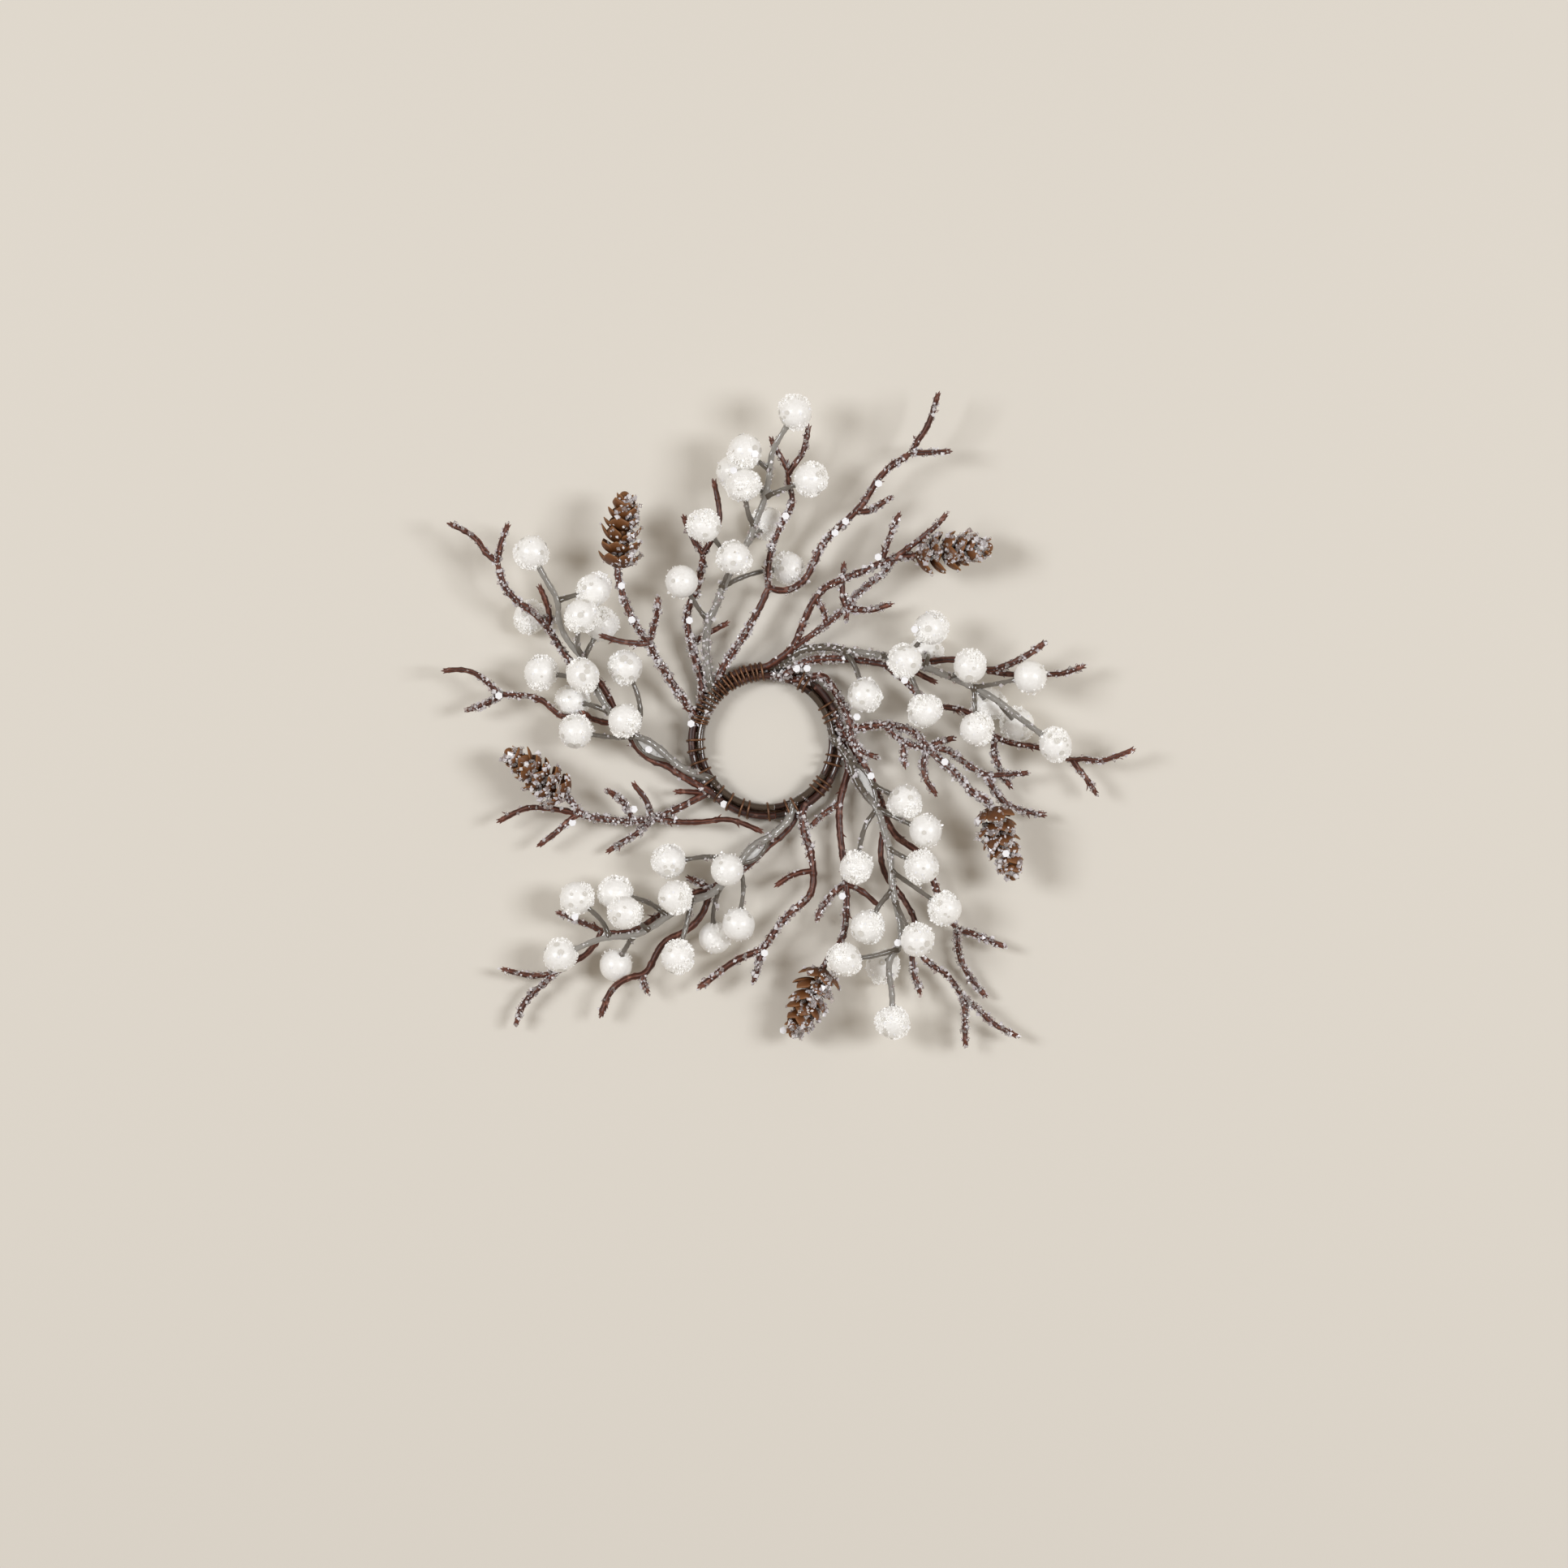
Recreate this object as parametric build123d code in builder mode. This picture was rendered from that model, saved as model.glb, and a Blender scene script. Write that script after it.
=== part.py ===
from build123d import *
from math import cos, hypot, pi, radians, sin, sqrt
import os

# A winter candle ring: a wire hoop with five sprays of berries, cones and twigs bound to it.
# The origin is on the hoop's axis at the table plane, with +Z up and out of the table.

# Overall sizes, in millimetres
spray_reach = 130.0
crown_height = 50.0
hoop_radius = 23.4
hoop_height = 4.5

# Wires and stems
hoop_wire_diameter = 1.6
tail_diameter = 1.5
bundle_gap = 0.3
stem_diameter = 1.9
pedicel_diameter = 1.4
twig_diameter = 2.2
arm_diameter = 1.7
tip_diameter = 0.7

# Corners of the runs are rounded from this share of the shorter leg, and left alone below
# this turn in degrees
corner_share = 0.45
least_turn = 0.5

# Binding wire
binding_diameter = 0.7
binding_clearance = 0.3
binding_groups = ((184, 164, 4), (115, 93, 6), (44, 18, 5), (-36, -56, 4), (-92, -124, 5))
oval_room_share = 1.2
crossing_lead = 5
crossing_shift_share = 0.5
crossing_steps = 3
points_per_turn = 40

# Berries
berry_diameter = 11.0
berry_bore_depth = 3.0
peg_clearance = 0.15
peg_end_gap = 0.3

# Pine cones, with the scales set round the core in one spiral
cone_length = 25.0
cone_radius = 7.0
cone_core_radius = 2.9
cone_scale_count = 34
cone_scale_turn = 137.5
cone_socket_depth = 4.0
cone_seat_clearance = 0.15
cone_lead = 3.0
envelope_start_share = 0.3
envelope_span_share = 1.4
envelope_power = 0.7
core_outline_shares = ((0.75, 0), (1, 0.3), (0.6, 0.75), (0, 0.94))
scale_foot_share = 0.05
scale_span_share = 0.8
scale_rise_share = 0.75
# Sections of one scale from foot to tip: place outward and upward, half width, half thickness,
# then how far the section faces outward and upward
scale_section_shares = (
    (0.16, 0.0, 0.22, 0.09, 1.0, 0.15),
    (0.62, 0.28, 0.40, 0.085, 1.0, 0.7),
    (1.0, 1.0, 0.07, 0.045, 0.35, 1.0),
)

overrun = 1.0

# The share of the reach at which the tables below read the hoop, and what one table step is worth
hoop_share = 0.18
step_share = 0.001

# How far each unit's tail is bound back along the hoop, in degrees from +X
tail_starts = {1: 277, 2: 190, 3: 118, 4: 48, 5: 330}
tail_step = 8

# Routes. Each place is (x, y, z) in thousandths: x and y of spray_reach, z of crown_height.
# A berry with z 0 rests on the table. "exit" is the angle where a tail leaves the bundle, and
# "slot" its column and row there. A main run that ends in a berry names it, counted from 1.

berry_stems_share = (
    dict(tail=1, slot=("in", 2), exit=214, main=(
        (-200, -78, 150), (-240, -50, 170), (-268, -22, 190), (-305, 5, 210), (-340, 15, 230),
        (-400, 75, 270), (-435, 135, 300), (-465, 210, 330), (-510, 260, 350), (-530, 310, 360),
        (-528, 360, 380), (-560, 410, 420)), last=1,
        eye=((-240, -50, 170), (-288, -42, 175), (-322, -20, 190), (-340, 15, 230)),
        berries=((-597, 482, 460), (-437, 388, 360), (-470, 320, 480), (-420, 298, 270),
                 (-605, 318, 0), (-575, 176, 300), (-466, 168, 480), (-357, 190, 300),
                 (-497, 104, 0), (-486, 24, 300), (-360, 54, 420)),
        pedicels=((), ((-528, 360, 380),), ((-465, 210, 330), (-484, 245, 375)),
                  ((-465, 210, 330), (-452, 238, 300)), ((-530, 310, 360), (-540, 318, 200)),
                  ((-435, 135, 300), (-500, 166, 320)), ((-435, 135, 300),),
                  ((-340, 15, 230), (-318, 60, 240), (-326, 118, 260)),
                  ((-400, 75, 270), (-440, 92, 230)), ((-340, 15, 230), (-385, 8, 240)),
                  ((-340, 15, 230),))),
    dict(tail=2, slot=("in", 2), exit=146, main=(
        (-140, 140, 130), (-150, 185, 140), (-155, 250, 170), (-148, 310, 210), (-125, 350, 240),
        (-112, 395, 270), (-80, 450, 300), (-45, 510, 320), (-30, 550, 340), (0, 625, 370),
        (10, 690, 400), (14, 740, 430)), last=1, eye=(),
        berries=((74, 836, 500), (-53, 740, 450), (-85, 690, 270), (-58, 652, 470), (112, 668, 420),
                 (-157, 548, 460), (-80, 466, 520), (-215, 408, 330), (58, 443, 0), (5, 560, 0)),
        pedicels=((), ((10, 690, 400),), ((0, 625, 370), (-25, 655, 300)),
                  ((-30, 550, 340), (-45, 575, 380)), ((0, 625, 370),),
                  ((-80, 450, 300), (-120, 500, 370)), ((-112, 395, 270),),
                  ((-148, 310, 210), (-170, 335, 230)),
                  ((-112, 395, 270), (-60, 422, 200), (-5, 438, 150)),
                  ((-45, 510, 320), (-25, 530, 230)))),
    dict(tail=3, slot=("out", 1), exit=82, main=(
        (58, 215, 130), (95, 238, 170), (160, 243, 200), (200, 232, 220), (300, 220, 270),
        (350, 205, 300), (405, 190, 330), (470, 165, 350), (530, 138, 360), (590, 105, 350),
        (640, 65, 340)), last=9, eye=(),
        berries=((420, 288, 400), (355, 205, 500), (410, 230, 0), (519, 190, 480), (673, 165, 400),
                 (250, 118, 300), (404, 78, 400), (535, 32, 400), (738, -8, 330), (572, 97, 0),
                 (645, 45, 0)),
        pedicels=(((350, 205, 300),), ((300, 220, 270),), ((405, 190, 330), (414, 216, 325)),
                  ((470, 165, 350),), ((530, 138, 360), (580, 145, 380)),
                  ((200, 232, 220), (228, 195, 230)), ((350, 205, 300), (378, 150, 340)),
                  ((530, 138, 360),), (), ((530, 138, 360),), ((590, 105, 350), (612, 75, 280)))),
    dict(tail=4, slot=("in", 2), exit=4, main=(
        (196, -22, 140), (215, -52, 170), (228, -95, 190), (250, -132, 210), (285, -170, 230),
        (300, -220, 260), (315, -275, 290), (320, -330, 310), (322, -380, 320), (330, -410, 330),
        (342, -455, 340), (345, -495, 350), (335, -530, 355), (315, -552, 350), (312, -590, 340),
        (322, -640, 330)), last=9,
        eye=((215, -52, 170), (252, -72, 185), (275, -112, 210), (285, -170, 230)),
        berries=((355, -152, 300), (407, -227, 340), (229, -323, 340), (399, -320, 420),
                 (457, -426, 340), (257, -473, 340), (200, -553, 500), (384, -507, 460),
                 (322, -716, 320), (297, -575, 0)),
        pedicels=(((275, -112, 210),), ((285, -170, 230), (332, -195, 270)),
                  ((285, -170, 230), (250, -215, 240)), ((315, -275, 290),),
                  ((320, -330, 310), (362, -360, 320)), ((322, -380, 320), (292, -412, 330)),
                  ((335, -530, 355), (270, -548, 420)), ((330, -410, 330), (350, -455, 390)),
                  (), ((335, -530, 355),))),
    dict(tail=5, slot=("in", 2), exit=294, main=(
        (62, -195, 140), (38, -222, 160), (8, -246, 180), (-35, -265, 195), (-70, -312, 220),
        (-95, -345, 240), (-120, -375, 250), (-150, -395, 260), (-190, -403, 270),
        (-250, -445, 280), (-300, -480, 290), (-340, -497, 300), (-400, -499, 300),
        (-435, -507, 300)), last=10,
        eye=((8, -246, 180), (-2, -275, 180), (-30, -305, 195), (-70, -312, 220)),
        berries=((-99, -327, 420), (-247, -307, 280), (-233, -397, 440), (-70, -467, 300),
                 (-131, -502, 0), (-226, -550, 320), (-358, -436, 420), (-385, -388, 240),
                 (-484, -399, 320), (-526, -547, 300), (-385, -573, 0)),
        pedicels=(((-70, -312, 220),), ((-70, -312, 220), (-130, -290, 235)),
                  ((-190, -403, 270),), ((-70, -312, 220), (-55, -365, 240)),
                  ((-120, -375, 250), (-137, -440, 170)), ((-190, -403, 270), (-203, -470, 290)),
                  ((-300, -480, 290),), ((-250, -445, 280), (-300, -408, 260)),
                  ((-400, -499, 300), (-418, -455, 310)), (),
                  ((-340, -497, 300), (-357, -525, 230)))),
)
cone_twigs_share = (
    dict(tail=1, slot=("out", 1), exit=226, cone=((-512, -140, 260), (-660, -25, 300)), main=(
        (-152, -132, 100), (-200, -158, 110), (-255, -186, 120), (-290, -197, 130),
        (-340, -205, 150), (-400, -200, 170), (-450, -193, 190), (-478, -185, 210)),
        arms=(((-290, -197, 130), (-225, -207, 150), (-160, -206, 170), (-100, -196, 185),
               (-50, -212, 200), (-5, -234, 220)),
              ((-478, -185, 210), (-530, -174, 210), (-600, -166, 205), (-640, -180, 200),
               (-690, -208, 190)),
              ((-478, -185, 210), (-505, -203, 200), (-540, -236, 190), (-588, -270, 180)),
              ((-340, -205, 150), (-352, -172, 170), (-375, -145, 190), (-412, -120, 210)),
              ((-290, -197, 130), (-305, -150, 150), (-325, -125, 160), (-345, -103, 170)),
              ((-290, -197, 130), (-330, -237, 120), (-360, -252, 110), (-412, -285, 100)),
              ((-152, -132, 100), (-195, -128, 110), (-240, -127, 120)))),
    dict(tail=2, slot=("out", 2), exit=160, cone=((-377, 443, 400), (-358, 645, 420)), main=(
        (-203, 92, 150), (-226, 130, 190), (-260, 180, 250), (-285, 220, 290), (-297, 250, 310),
        (-315, 270, 320), (-340, 310, 340), (-360, 355, 360), (-370, 395, 380)),
        arms=(((-297, 250, 310), (-330, 250, 340), (-375, 255, 370), (-427, 273, 400)),
              ((-297, 250, 310), (-287, 295, 340), (-275, 330, 370), (-275, 372, 400)))),
    dict(tail=3, slot=("out", 2), exit=90, cone=((385, 475, 330), (568, 495, 340)), main=(
        (35, 213, 158), (70, 240, 185), (90, 290, 220), (110, 340, 250), (125, 365, 260),
        (150, 395, 270), (185, 410, 280), (220, 425, 290), (260, 440, 300), (295, 457, 310),
        (330, 470, 320)),
        arms=(((70, 240, 185), (110, 268, 190), (150, 297, 200), (205, 340, 215), (225, 370, 225),
               (260, 400, 240), (300, 428, 260), (330, 470, 320)),
              ((205, 340, 215), (195, 370, 222), (195, 410, 228), (200, 462, 235)),
              ((205, 340, 215), (240, 337, 215), (270, 335, 220), (300, 345, 230),
               (327, 353, 240)),
              ((205, 340, 215), (207, 305, 215)),
              ((125, 365, 260), (150, 335, 230), (150, 297, 200)),
              ((295, 457, 310), (305, 490, 330), (315, 520, 340), (330, 560, 350),
               (343, 587, 360)),
              ((330, 470, 320), (385, 510, 400), (430, 545, 430), (463, 582, 440)))),
    dict(tail=3, slot=("in", 1), exit=66, cone=((572, -170, 370), (628, -335, 340)), main=(
        (112, 165, 100), (150, 172, 130), (186, 115, 170), (212, 65, 190), (216, 30, 196),
        (300, 45, 235), (345, 38, 235), (385, 20, 225), (412, -16, 210), (440, -45, 230),
        (470, -65, 260), (500, -100, 300), (530, -135, 340)),
        arms=(((216, 30, 196), (222, 0, 200), (238, -22, 190), (265, -35, 180), (290, -40, 170)),
              ((300, 45, 235), (328, 15, 225), (352, -2, 215), (382, -12, 210), (412, -16, 210)),
              ((412, -16, 210), (465, -20, 210), (492, -42, 215), (530, -70, 220),
               (565, -88, 225), (600, -85, 230), (640, -82, 230), (677, -80, 230)),
              ((565, -88, 225), (585, -130, 200), (615, -160, 180), (650, -175, 170),
               (720, -190, 160)),
              ((412, -16, 210), (440, -2, 215), (488, 12, 220)),
              ((352, -2, 215), (350, -35, 200), (357, -72, 190)),
              ((412, -16, 210), (400, -60, 190), (408, -98, 180), (425, -120, 170),
               (438, -142, 160)))),
    dict(tail=4, slot=("out", 1), exit=4, cone=((145, -580, 240), (62, -765, 220)), main=(
        (205, -32, 85), (213, -70, 85), (200, -110, 95), (187, -160, 105), (188, -220, 115),
        (195, -280, 125), (205, -365, 150), (206, -400, 165), (205, -450, 180), (200, -490, 200),
        (185, -522, 220)),
        arms=(((205, -365, 150), (175, -382, 160), (158, -405, 165), (140, -425, 170),
               (127, -463, 175)),
              ((205, -365, 150), (235, -375, 155), (265, -397, 155), (292, -425, 150)),
              ((187, -160, 105), (150, -183, 110), (130, -200, 120), (112, -222, 130)))),
)
side_twigs_share = (
    dict(tail=1, slot=("out", 2), exit=221, main=(
        (-212, -92, 130), (-254, -60, 125), (-290, -50, 130), (-325, -24, 140), (-352, 18, 150),
        (-378, 55, 165), (-392, 95, 190), (-422, 150, 225), (-460, 178, 235), (-500, 205, 250),
        (-525, 235, 260), (-555, 290, 280), (-600, 335, 310), (-630, 352, 320), (-655, 378, 330),
        (-672, 405, 340), (-685, 458, 350)),
        arms=(((-685, 458, 350), (-715, 480, 360), (-735, 515, 350), (-768, 538, 330),
               (-815, 558, 300)),
              ((-685, 458, 350), (-678, 490, 380), (-672, 515, 400), (-654, 558, 420)),
              ((-555, 290, 280), (-552, 325, 300), (-562, 360, 330), (-580, 402, 360)),
              ((-378, 55, 165), (-405, 45, 170), (-450, 60, 185), (-490, 64, 205),
               (-520, 62, 210), (-545, 80, 215), (-570, 105, 220), (-600, 116, 230),
               (-640, 118, 240), (-680, 120, 250), (-700, 140, 260), (-735, 172, 270),
               (-775, 185, 280), (-830, 180, 290)),
              ((-680, 120, 250), (-705, 100, 245), (-740, 88, 235), (-770, 78, 225)),
              ((-450, 60, 185), (-472, 80, 230)))),
    dict(tail=2, slot=("out", 1), exit=150, main=(
        (-163, 150, 100), (-178, 200, 110), (-192, 250, 130), (-203, 300, 160), (-198, 350, 180),
        (-175, 390, 200), (-165, 440, 220), (-160, 480, 240)),
        arms=(((-160, 480, 240), (-145, 505, 245), (-118, 560, 235), (-120, 600, 235),
               (-130, 650, 240), (-137, 673, 250)),
              ((-160, 480, 240), (-185, 512, 250), (-205, 560, 260), (-213, 582, 270)),
              ((-192, 250, 130), (-155, 274, 95), (-130, 287, 95), (-92, 308, 100)))),
    dict(tail=2, slot=("in", 1), exit=140, main=(
        (-128, 150, 100), (-112, 187, 120), (-90, 225, 150), (-60, 265, 180), (-35, 310, 210),
        (-10, 355, 230), (5, 395, 240), (30, 386, 235), (60, 387, 230), (90, 405, 230),
        (110, 430, 230), (125, 465, 235), (140, 500, 240), (170, 535, 250), (200, 560, 260),
        (228, 587, 270), (250, 610, 280), (270, 645, 290), (290, 675, 300), (320, 705, 310),
        (350, 722, 320), (372, 737, 330)),
        arms=(((5, 395, 240), (4, 430, 245), (10, 480, 260), (22, 515, 280), (42, 560, 300),
               (62, 590, 300), (68, 615, 300), (64, 640, 300), (57, 665, 310), (58, 685, 330),
               (45, 715, 350), (30, 738, 360), (8, 778, 380)),
              ((58, 685, 330), (75, 710, 340), (95, 735, 340), (105, 780, 330), (109, 812, 330)),
              ((372, 737, 330), (384, 764, 340), (407, 793, 360), (422, 828, 380),
               (431, 863, 400), (442, 892, 420)),
              ((372, 737, 330), (407, 736, 330), (442, 738, 330), (477, 740, 330)),
              ((228, 587, 270), (267, 588, 260), (291, 606, 250), (325, 629, 240)))),
    dict(tail=3, slot=("in", 2), exit=76, main=(
        (80, 195, 130), (120, 212, 150), (165, 214, 165), (250, 208, 180), (300, 198, 205),
        (355, 196, 220), (410, 203, 230), (475, 212, 250), (520, 200, 260), (565, 180, 270),
        (600, 188, 290), (640, 205, 310), (675, 225, 330), (715, 255, 350)),
        arms=(((565, 180, 270), (620, 172, 250), (670, 168, 240), (715, 172, 240),
               (760, 172, 250), (818, 197, 270)),
              ((355, 196, 220), (385, 175, 215), (440, 148, 230)),
              ((300, 198, 205), (335, 172, 200), (365, 145, 200), (392, 118, 200),
               (430, 92, 200), (482, 86, 202), (520, 75, 200), (560, 40, 200), (585, 10, 200),
               (640, -8, 200), (690, -12, 195), (740, -32, 190), (785, -50, 200),
               (810, -42, 215), (850, -52, 230), (890, -40, 245), (945, -18, 260)),
              ((785, -50, 200), (800, -72, 200), (820, -95, 200), (847, -140, 190)),
              ((585, 10, 200), (580, -25, 190), (592, -55, 180), (605, -90, 170),
               (632, -122, 160)))),
    dict(tail=4, slot=("out", 2), exit=14, main=(
        (212, 4, 120), (237, -38, 115), (262, -82, 110), (282, -122, 110), (297, -160, 105),
        (307, -197, 105), (330, -240, 110), (360, -262, 110), (388, -279, 115), (412, -318, 115),
        (430, -360, 115), (440, -395, 115), (465, -440, 120), (488, -482, 130)),
        arms=(((488, -482, 130), (520, -487, 140), (560, -505, 150), (617, -527, 160)),
              ((488, -482, 130), (490, -530, 120), (505, -575, 110), (525, -610, 100),
               (567, -657, 90)),
              ((307, -197, 105), (296, -245, 100), (292, -290, 100), (300, -330, 100),
               (315, -358, 110), (340, -385, 120), (362, -420, 130), (382, -455, 140),
               (380, -505, 150), (398, -550, 160), (430, -577, 170), (460, -592, 170),
               (482, -620, 170), (502, -652, 170), (525, -668, 180), (550, -690, 190),
               (572, -714, 190), (600, -732, 180), (647, -755, 170)),
              ((380, -505, 150), (372, -555, 150), (380, -600, 150), (396, -650, 150)),
              ((502, -652, 170), (511, -690, 180), (508, -740, 170), (512, -783, 160)))),
    dict(tail=5, slot=("out", 2), exit=300, main=(
        (92, -198, 140), (98, -240, 160), (110, -265, 170), (116, -292, 175), (121, -330, 180),
        (121, -370, 185), (108, -402, 190), (75, -427, 200), (45, -455, 210), (15, -495, 215),
        (-8, -532, 220), (-40, -542, 220), (-80, -560, 220), (-115, -585, 215),
        (-145, -610, 210), (-177, -632, 200)),
        arms=(((-8, -532, 220), (-18, -562, 225), (-26, -592, 230), (-35, -620, 230)),
              ((121, -330, 180), (80, -336, 190), (50, -350, 200), (20, -373, 210)))),
    dict(tail=5, slot=("out", 1), exit=296, main=(
        (66, -212, 100), (38, -242, 105), (10, -262, 110), (-15, -288, 120), (-55, -325, 130),
        (-100, -352, 140), (-140, -376, 150), (-150, -410, 150), (-162, -442, 150),
        (-190, -475, 150), (-215, -490, 150), (-260, -510, 155), (-280, -540, 160),
        (-298, -580, 165), (-315, -597, 180), (-350, -602, 195), (-385, -622, 200),
        (-405, -650, 195), (-415, -680, 175), (-426, -708, 170)),
        arms=(((-315, -597, 180), (-312, -622, 180), (-300, -648, 180)),
              ((-140, -376, 150), (-190, -388, 150), (-235, -415, 150), (-275, -445, 150),
               (-305, -465, 150), (-335, -482, 150), (-380, -492, 150), (-420, -485, 150),
               (-450, -470, 155), (-480, -460, 160), (-515, -442, 165), (-540, -435, 170)),
              ((-140, -376, 150), (-180, -356, 160), (-207, -345, 165)),
              ((-420, -485, 150), (-435, -515, 145), (-460, -545, 140), (-482, -557, 140),
               (-545, -595, 140), (-600, -600, 145), (-625, -595, 150), (-682, -580, 160)),
              ((-545, -595, 140), (-565, -617, 140), (-590, -637, 135), (-615, -662, 130),
               (-630, -690, 130), (-642, -730, 130)))),
)

column_pitch = tail_diameter + bundle_gap
columns = {"in": hoop_radius - column_pitch / 2, "out": hoop_radius + column_pitch / 2}
rows = {0: hoop_height - column_pitch, 1: hoop_height, 2: hoop_height + column_pitch}
berry_radius = berry_diameter / 2


def place(share):
    """A table place in millimetres, kept clear of the hoop when its radius changes."""
    across = hypot(share[0], share[1]) * step_share
    spread = (spray_reach - hoop_radius) / (1 - hoop_share)
    radius = hoop_radius + (across - hoop_share) * spread
    scale = radius / across * step_share
    return Vector(share[0] * scale, share[1] * scale, share[2] * step_share * crown_height)


def berry_place(share):
    centre = place(share)
    return Vector(centre.X, centre.Y, centre.Z if share[2] else berry_radius)


def on_hoop(radius, angle, height):
    return Vector(radius * cos(radians(angle)), radius * sin(radians(angle)), height)


def tail_points(spray):
    """The bound end of a stem: along the hoop from its cut end, then out into the main run."""
    column, row = spray["slot"]
    start, leave = tail_starts[spray["tail"]], spray["exit"]
    steps = max(2, round((start - leave) / tail_step))
    angles = [start + (leave - start) * n / steps for n in range(steps + 1)]
    first, second = (place(share) for share in spray["main"][:2])
    return [on_hoop(columns[column], angle, rows[row]) for angle in angles] + [first, (first + second) / 2]


def add_path(points):
    """Straight runs joined by tangent arcs, each as large as its two runs allow, on the open line."""
    reached = points[0]
    for before, corner, after in zip(points, points[1:], points[2:]):
        inward, outward = (corner - before).normalized(), (after - corner).normalized()
        if inward.get_angle(outward) < least_turn:
            continue
        cut = corner_share * min((corner - before).length, (after - corner).length)
        Line(reached, corner - inward * cut)
        TangentArc(corner - inward * cut, corner + outward * cut, tangent=inward)
        reached = corner + outward * cut
    Line(reached, points[-1])


def add_tube(points, diameter):
    """Adds a round tube along straight runs and tangent arcs to the open part."""
    with BuildLine() as path:
        add_path(points)
    with BuildSketch(Plane(origin=path.line @ 0, z_dir=path.line % 0)) as section:
        Circle(diameter / 2)
    sweep(sections=section.sketch, path=path.wires()[0])


def add_pointed_tube(points, diameter):
    """A tube whose last half run tapers to a blunt tip."""
    taper_start = (points[-2] + points[-1]) / 2
    add_tube(points[:-1] + [taper_start], diameter)
    reach = points[-1] - taper_start
    with Locations(Plane(origin=taper_start, z_dir=reach)):
        Cone(diameter / 2, tip_diameter / 2, reach.length, align=(Align.CENTER, Align.CENTER, Align.MIN))


def towards(start, goal):
    return (goal - start).normalized()


def berry_seat(spray, number):
    """Where the stem of one berry turns to it, and the direction in which it enters."""
    shares = spray["pedicels"][number] or spray["main"][-1:]
    centre = berry_place(spray["berries"][number])
    return centre, towards(place(shares[-1]), centre)


def peg_end(spray, number):
    centre, direction = berry_seat(spray, number)
    return centre - direction * (berry_radius - berry_bore_depth + peg_end_gap)


def finish(part, name):
    part.label = name
    export_step(part, f"parts/{name}.step")


def hoop_wire(column, name):
    """One closed wire of the hoop, under the tails."""
    with BuildPart() as wire:
        with BuildLine() as path:
            CenterArc((0, 0, rows[0]), columns[column], 0, 360)
        with BuildSketch(Plane(origin=path.line @ 0, z_dir=path.line % 0)):
            Circle(hoop_wire_diameter / 2)
        sweep(path=path.wires()[0])
    finish(wire.part, name)


def binding_oval():
    """Half width and half height of the oval that the binding wire follows."""
    around = tail_diameter / 2 + binding_clearance + binding_diameter / 2
    return ((column_pitch / 2 + around) * oval_room_share, (column_pitch + around) * oval_room_share)


def binding_knots():
    """Points and directions along the binding wire, a quarter turn apart."""
    half_width, half_height = binding_oval()
    knots = []
    for index, (start, end, turns) in enumerate(binding_groups):
        if index:
            knots += crossing_knots(binding_groups[index - 1][1], start)
        advance = radians(end - start) / turns / 4
        for quarter in range(turns * 4 + 1):
            phase = radians(90 * quarter - 90)
            angle = start + (end - start) * quarter / (turns * 4)
            radius = hoop_radius + half_width * cos(phase)
            outward, along = on_hoop(1, angle, 0), on_hoop(1, angle + 90, 0)
            direction = outward * (-half_width * sin(phase)) + Vector(0, 0, half_height * cos(phase))
            direction += along * (radius * advance / radians(90))
            point = on_hoop(radius, angle, hoop_height + half_height * sin(phase))
            knots.append((point, direction.normalized()))
    return knots


def crossing_knots(start, end):
    """The stretch under the hoop that takes the wire from one group of turns to the next."""
    half_width, half_height = binding_oval()
    shift = half_width * crossing_shift_share
    knots = []
    for step in range(crossing_steps):
        share = step / (crossing_steps - 1)
        angle = start - crossing_lead + (end - start + 2 * crossing_lead) * share
        point = on_hoop(hoop_radius + shift * (1 - 2 * share), angle, hoop_height - half_height)
        knots.append((point, on_hoop(1, angle - 90, 0)))
    return knots


def biarc_middle(start, start_way, end, end_way):
    """The point where two arcs, one tangent at each end, meet."""
    chord, ways = end - start, start_way + end_way
    bend, along = 4 - ways.dot(ways), chord.dot(ways)
    reach = (sqrt(along ** 2 + bend * chord.dot(chord)) - along) / bend
    return (start + start_way * reach + end - end_way * reach) / 2, reach


def binding_wire():
    """One unbroken wire, wound round the bundle in groups of turns."""
    knots = binding_knots()
    with BuildPart() as wire:
        with BuildLine() as path:
            first, first_way = knots[0]
            Line(first - first_way * binding_diameter, first)
            for (start, start_way), (end, end_way) in zip(knots, knots[1:]):
                middle, reach = biarc_middle(start, start_way, end, end_way)
                TangentArc(start, middle, tangent=start_way)
                TangentArc(middle, end, tangent=end - end_way * reach - middle)
            last, last_way = knots[-1]
            Line(last, last + last_way * binding_diameter)
        with BuildSketch(Plane(origin=path.line @ 0, z_dir=path.line % 0)):
            Circle(binding_diameter / 2)
        sweep(path=path.wires()[0])
    report_binding(path.wires()[0])
    finish(wire.part, "binding_wire")


def report_binding(path):
    """Prints the number of turns and the least gap between turns, measured on points."""
    turns = sum(group[2] for group in binding_groups)
    samples = turns * points_per_turn
    points = [path @ (n / samples) for n in range(samples + 1)]
    apart = round(samples * pi * binding_diameter / path.length)
    gap = min((points[i] - points[j]).length
              for i in range(len(points)) for j in range(i + apart, len(points))) - binding_diameter
    print(f"binding wire: {turns} turns, length {path.length:.1f} mm, least gap {gap:.2f} mm")


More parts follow.
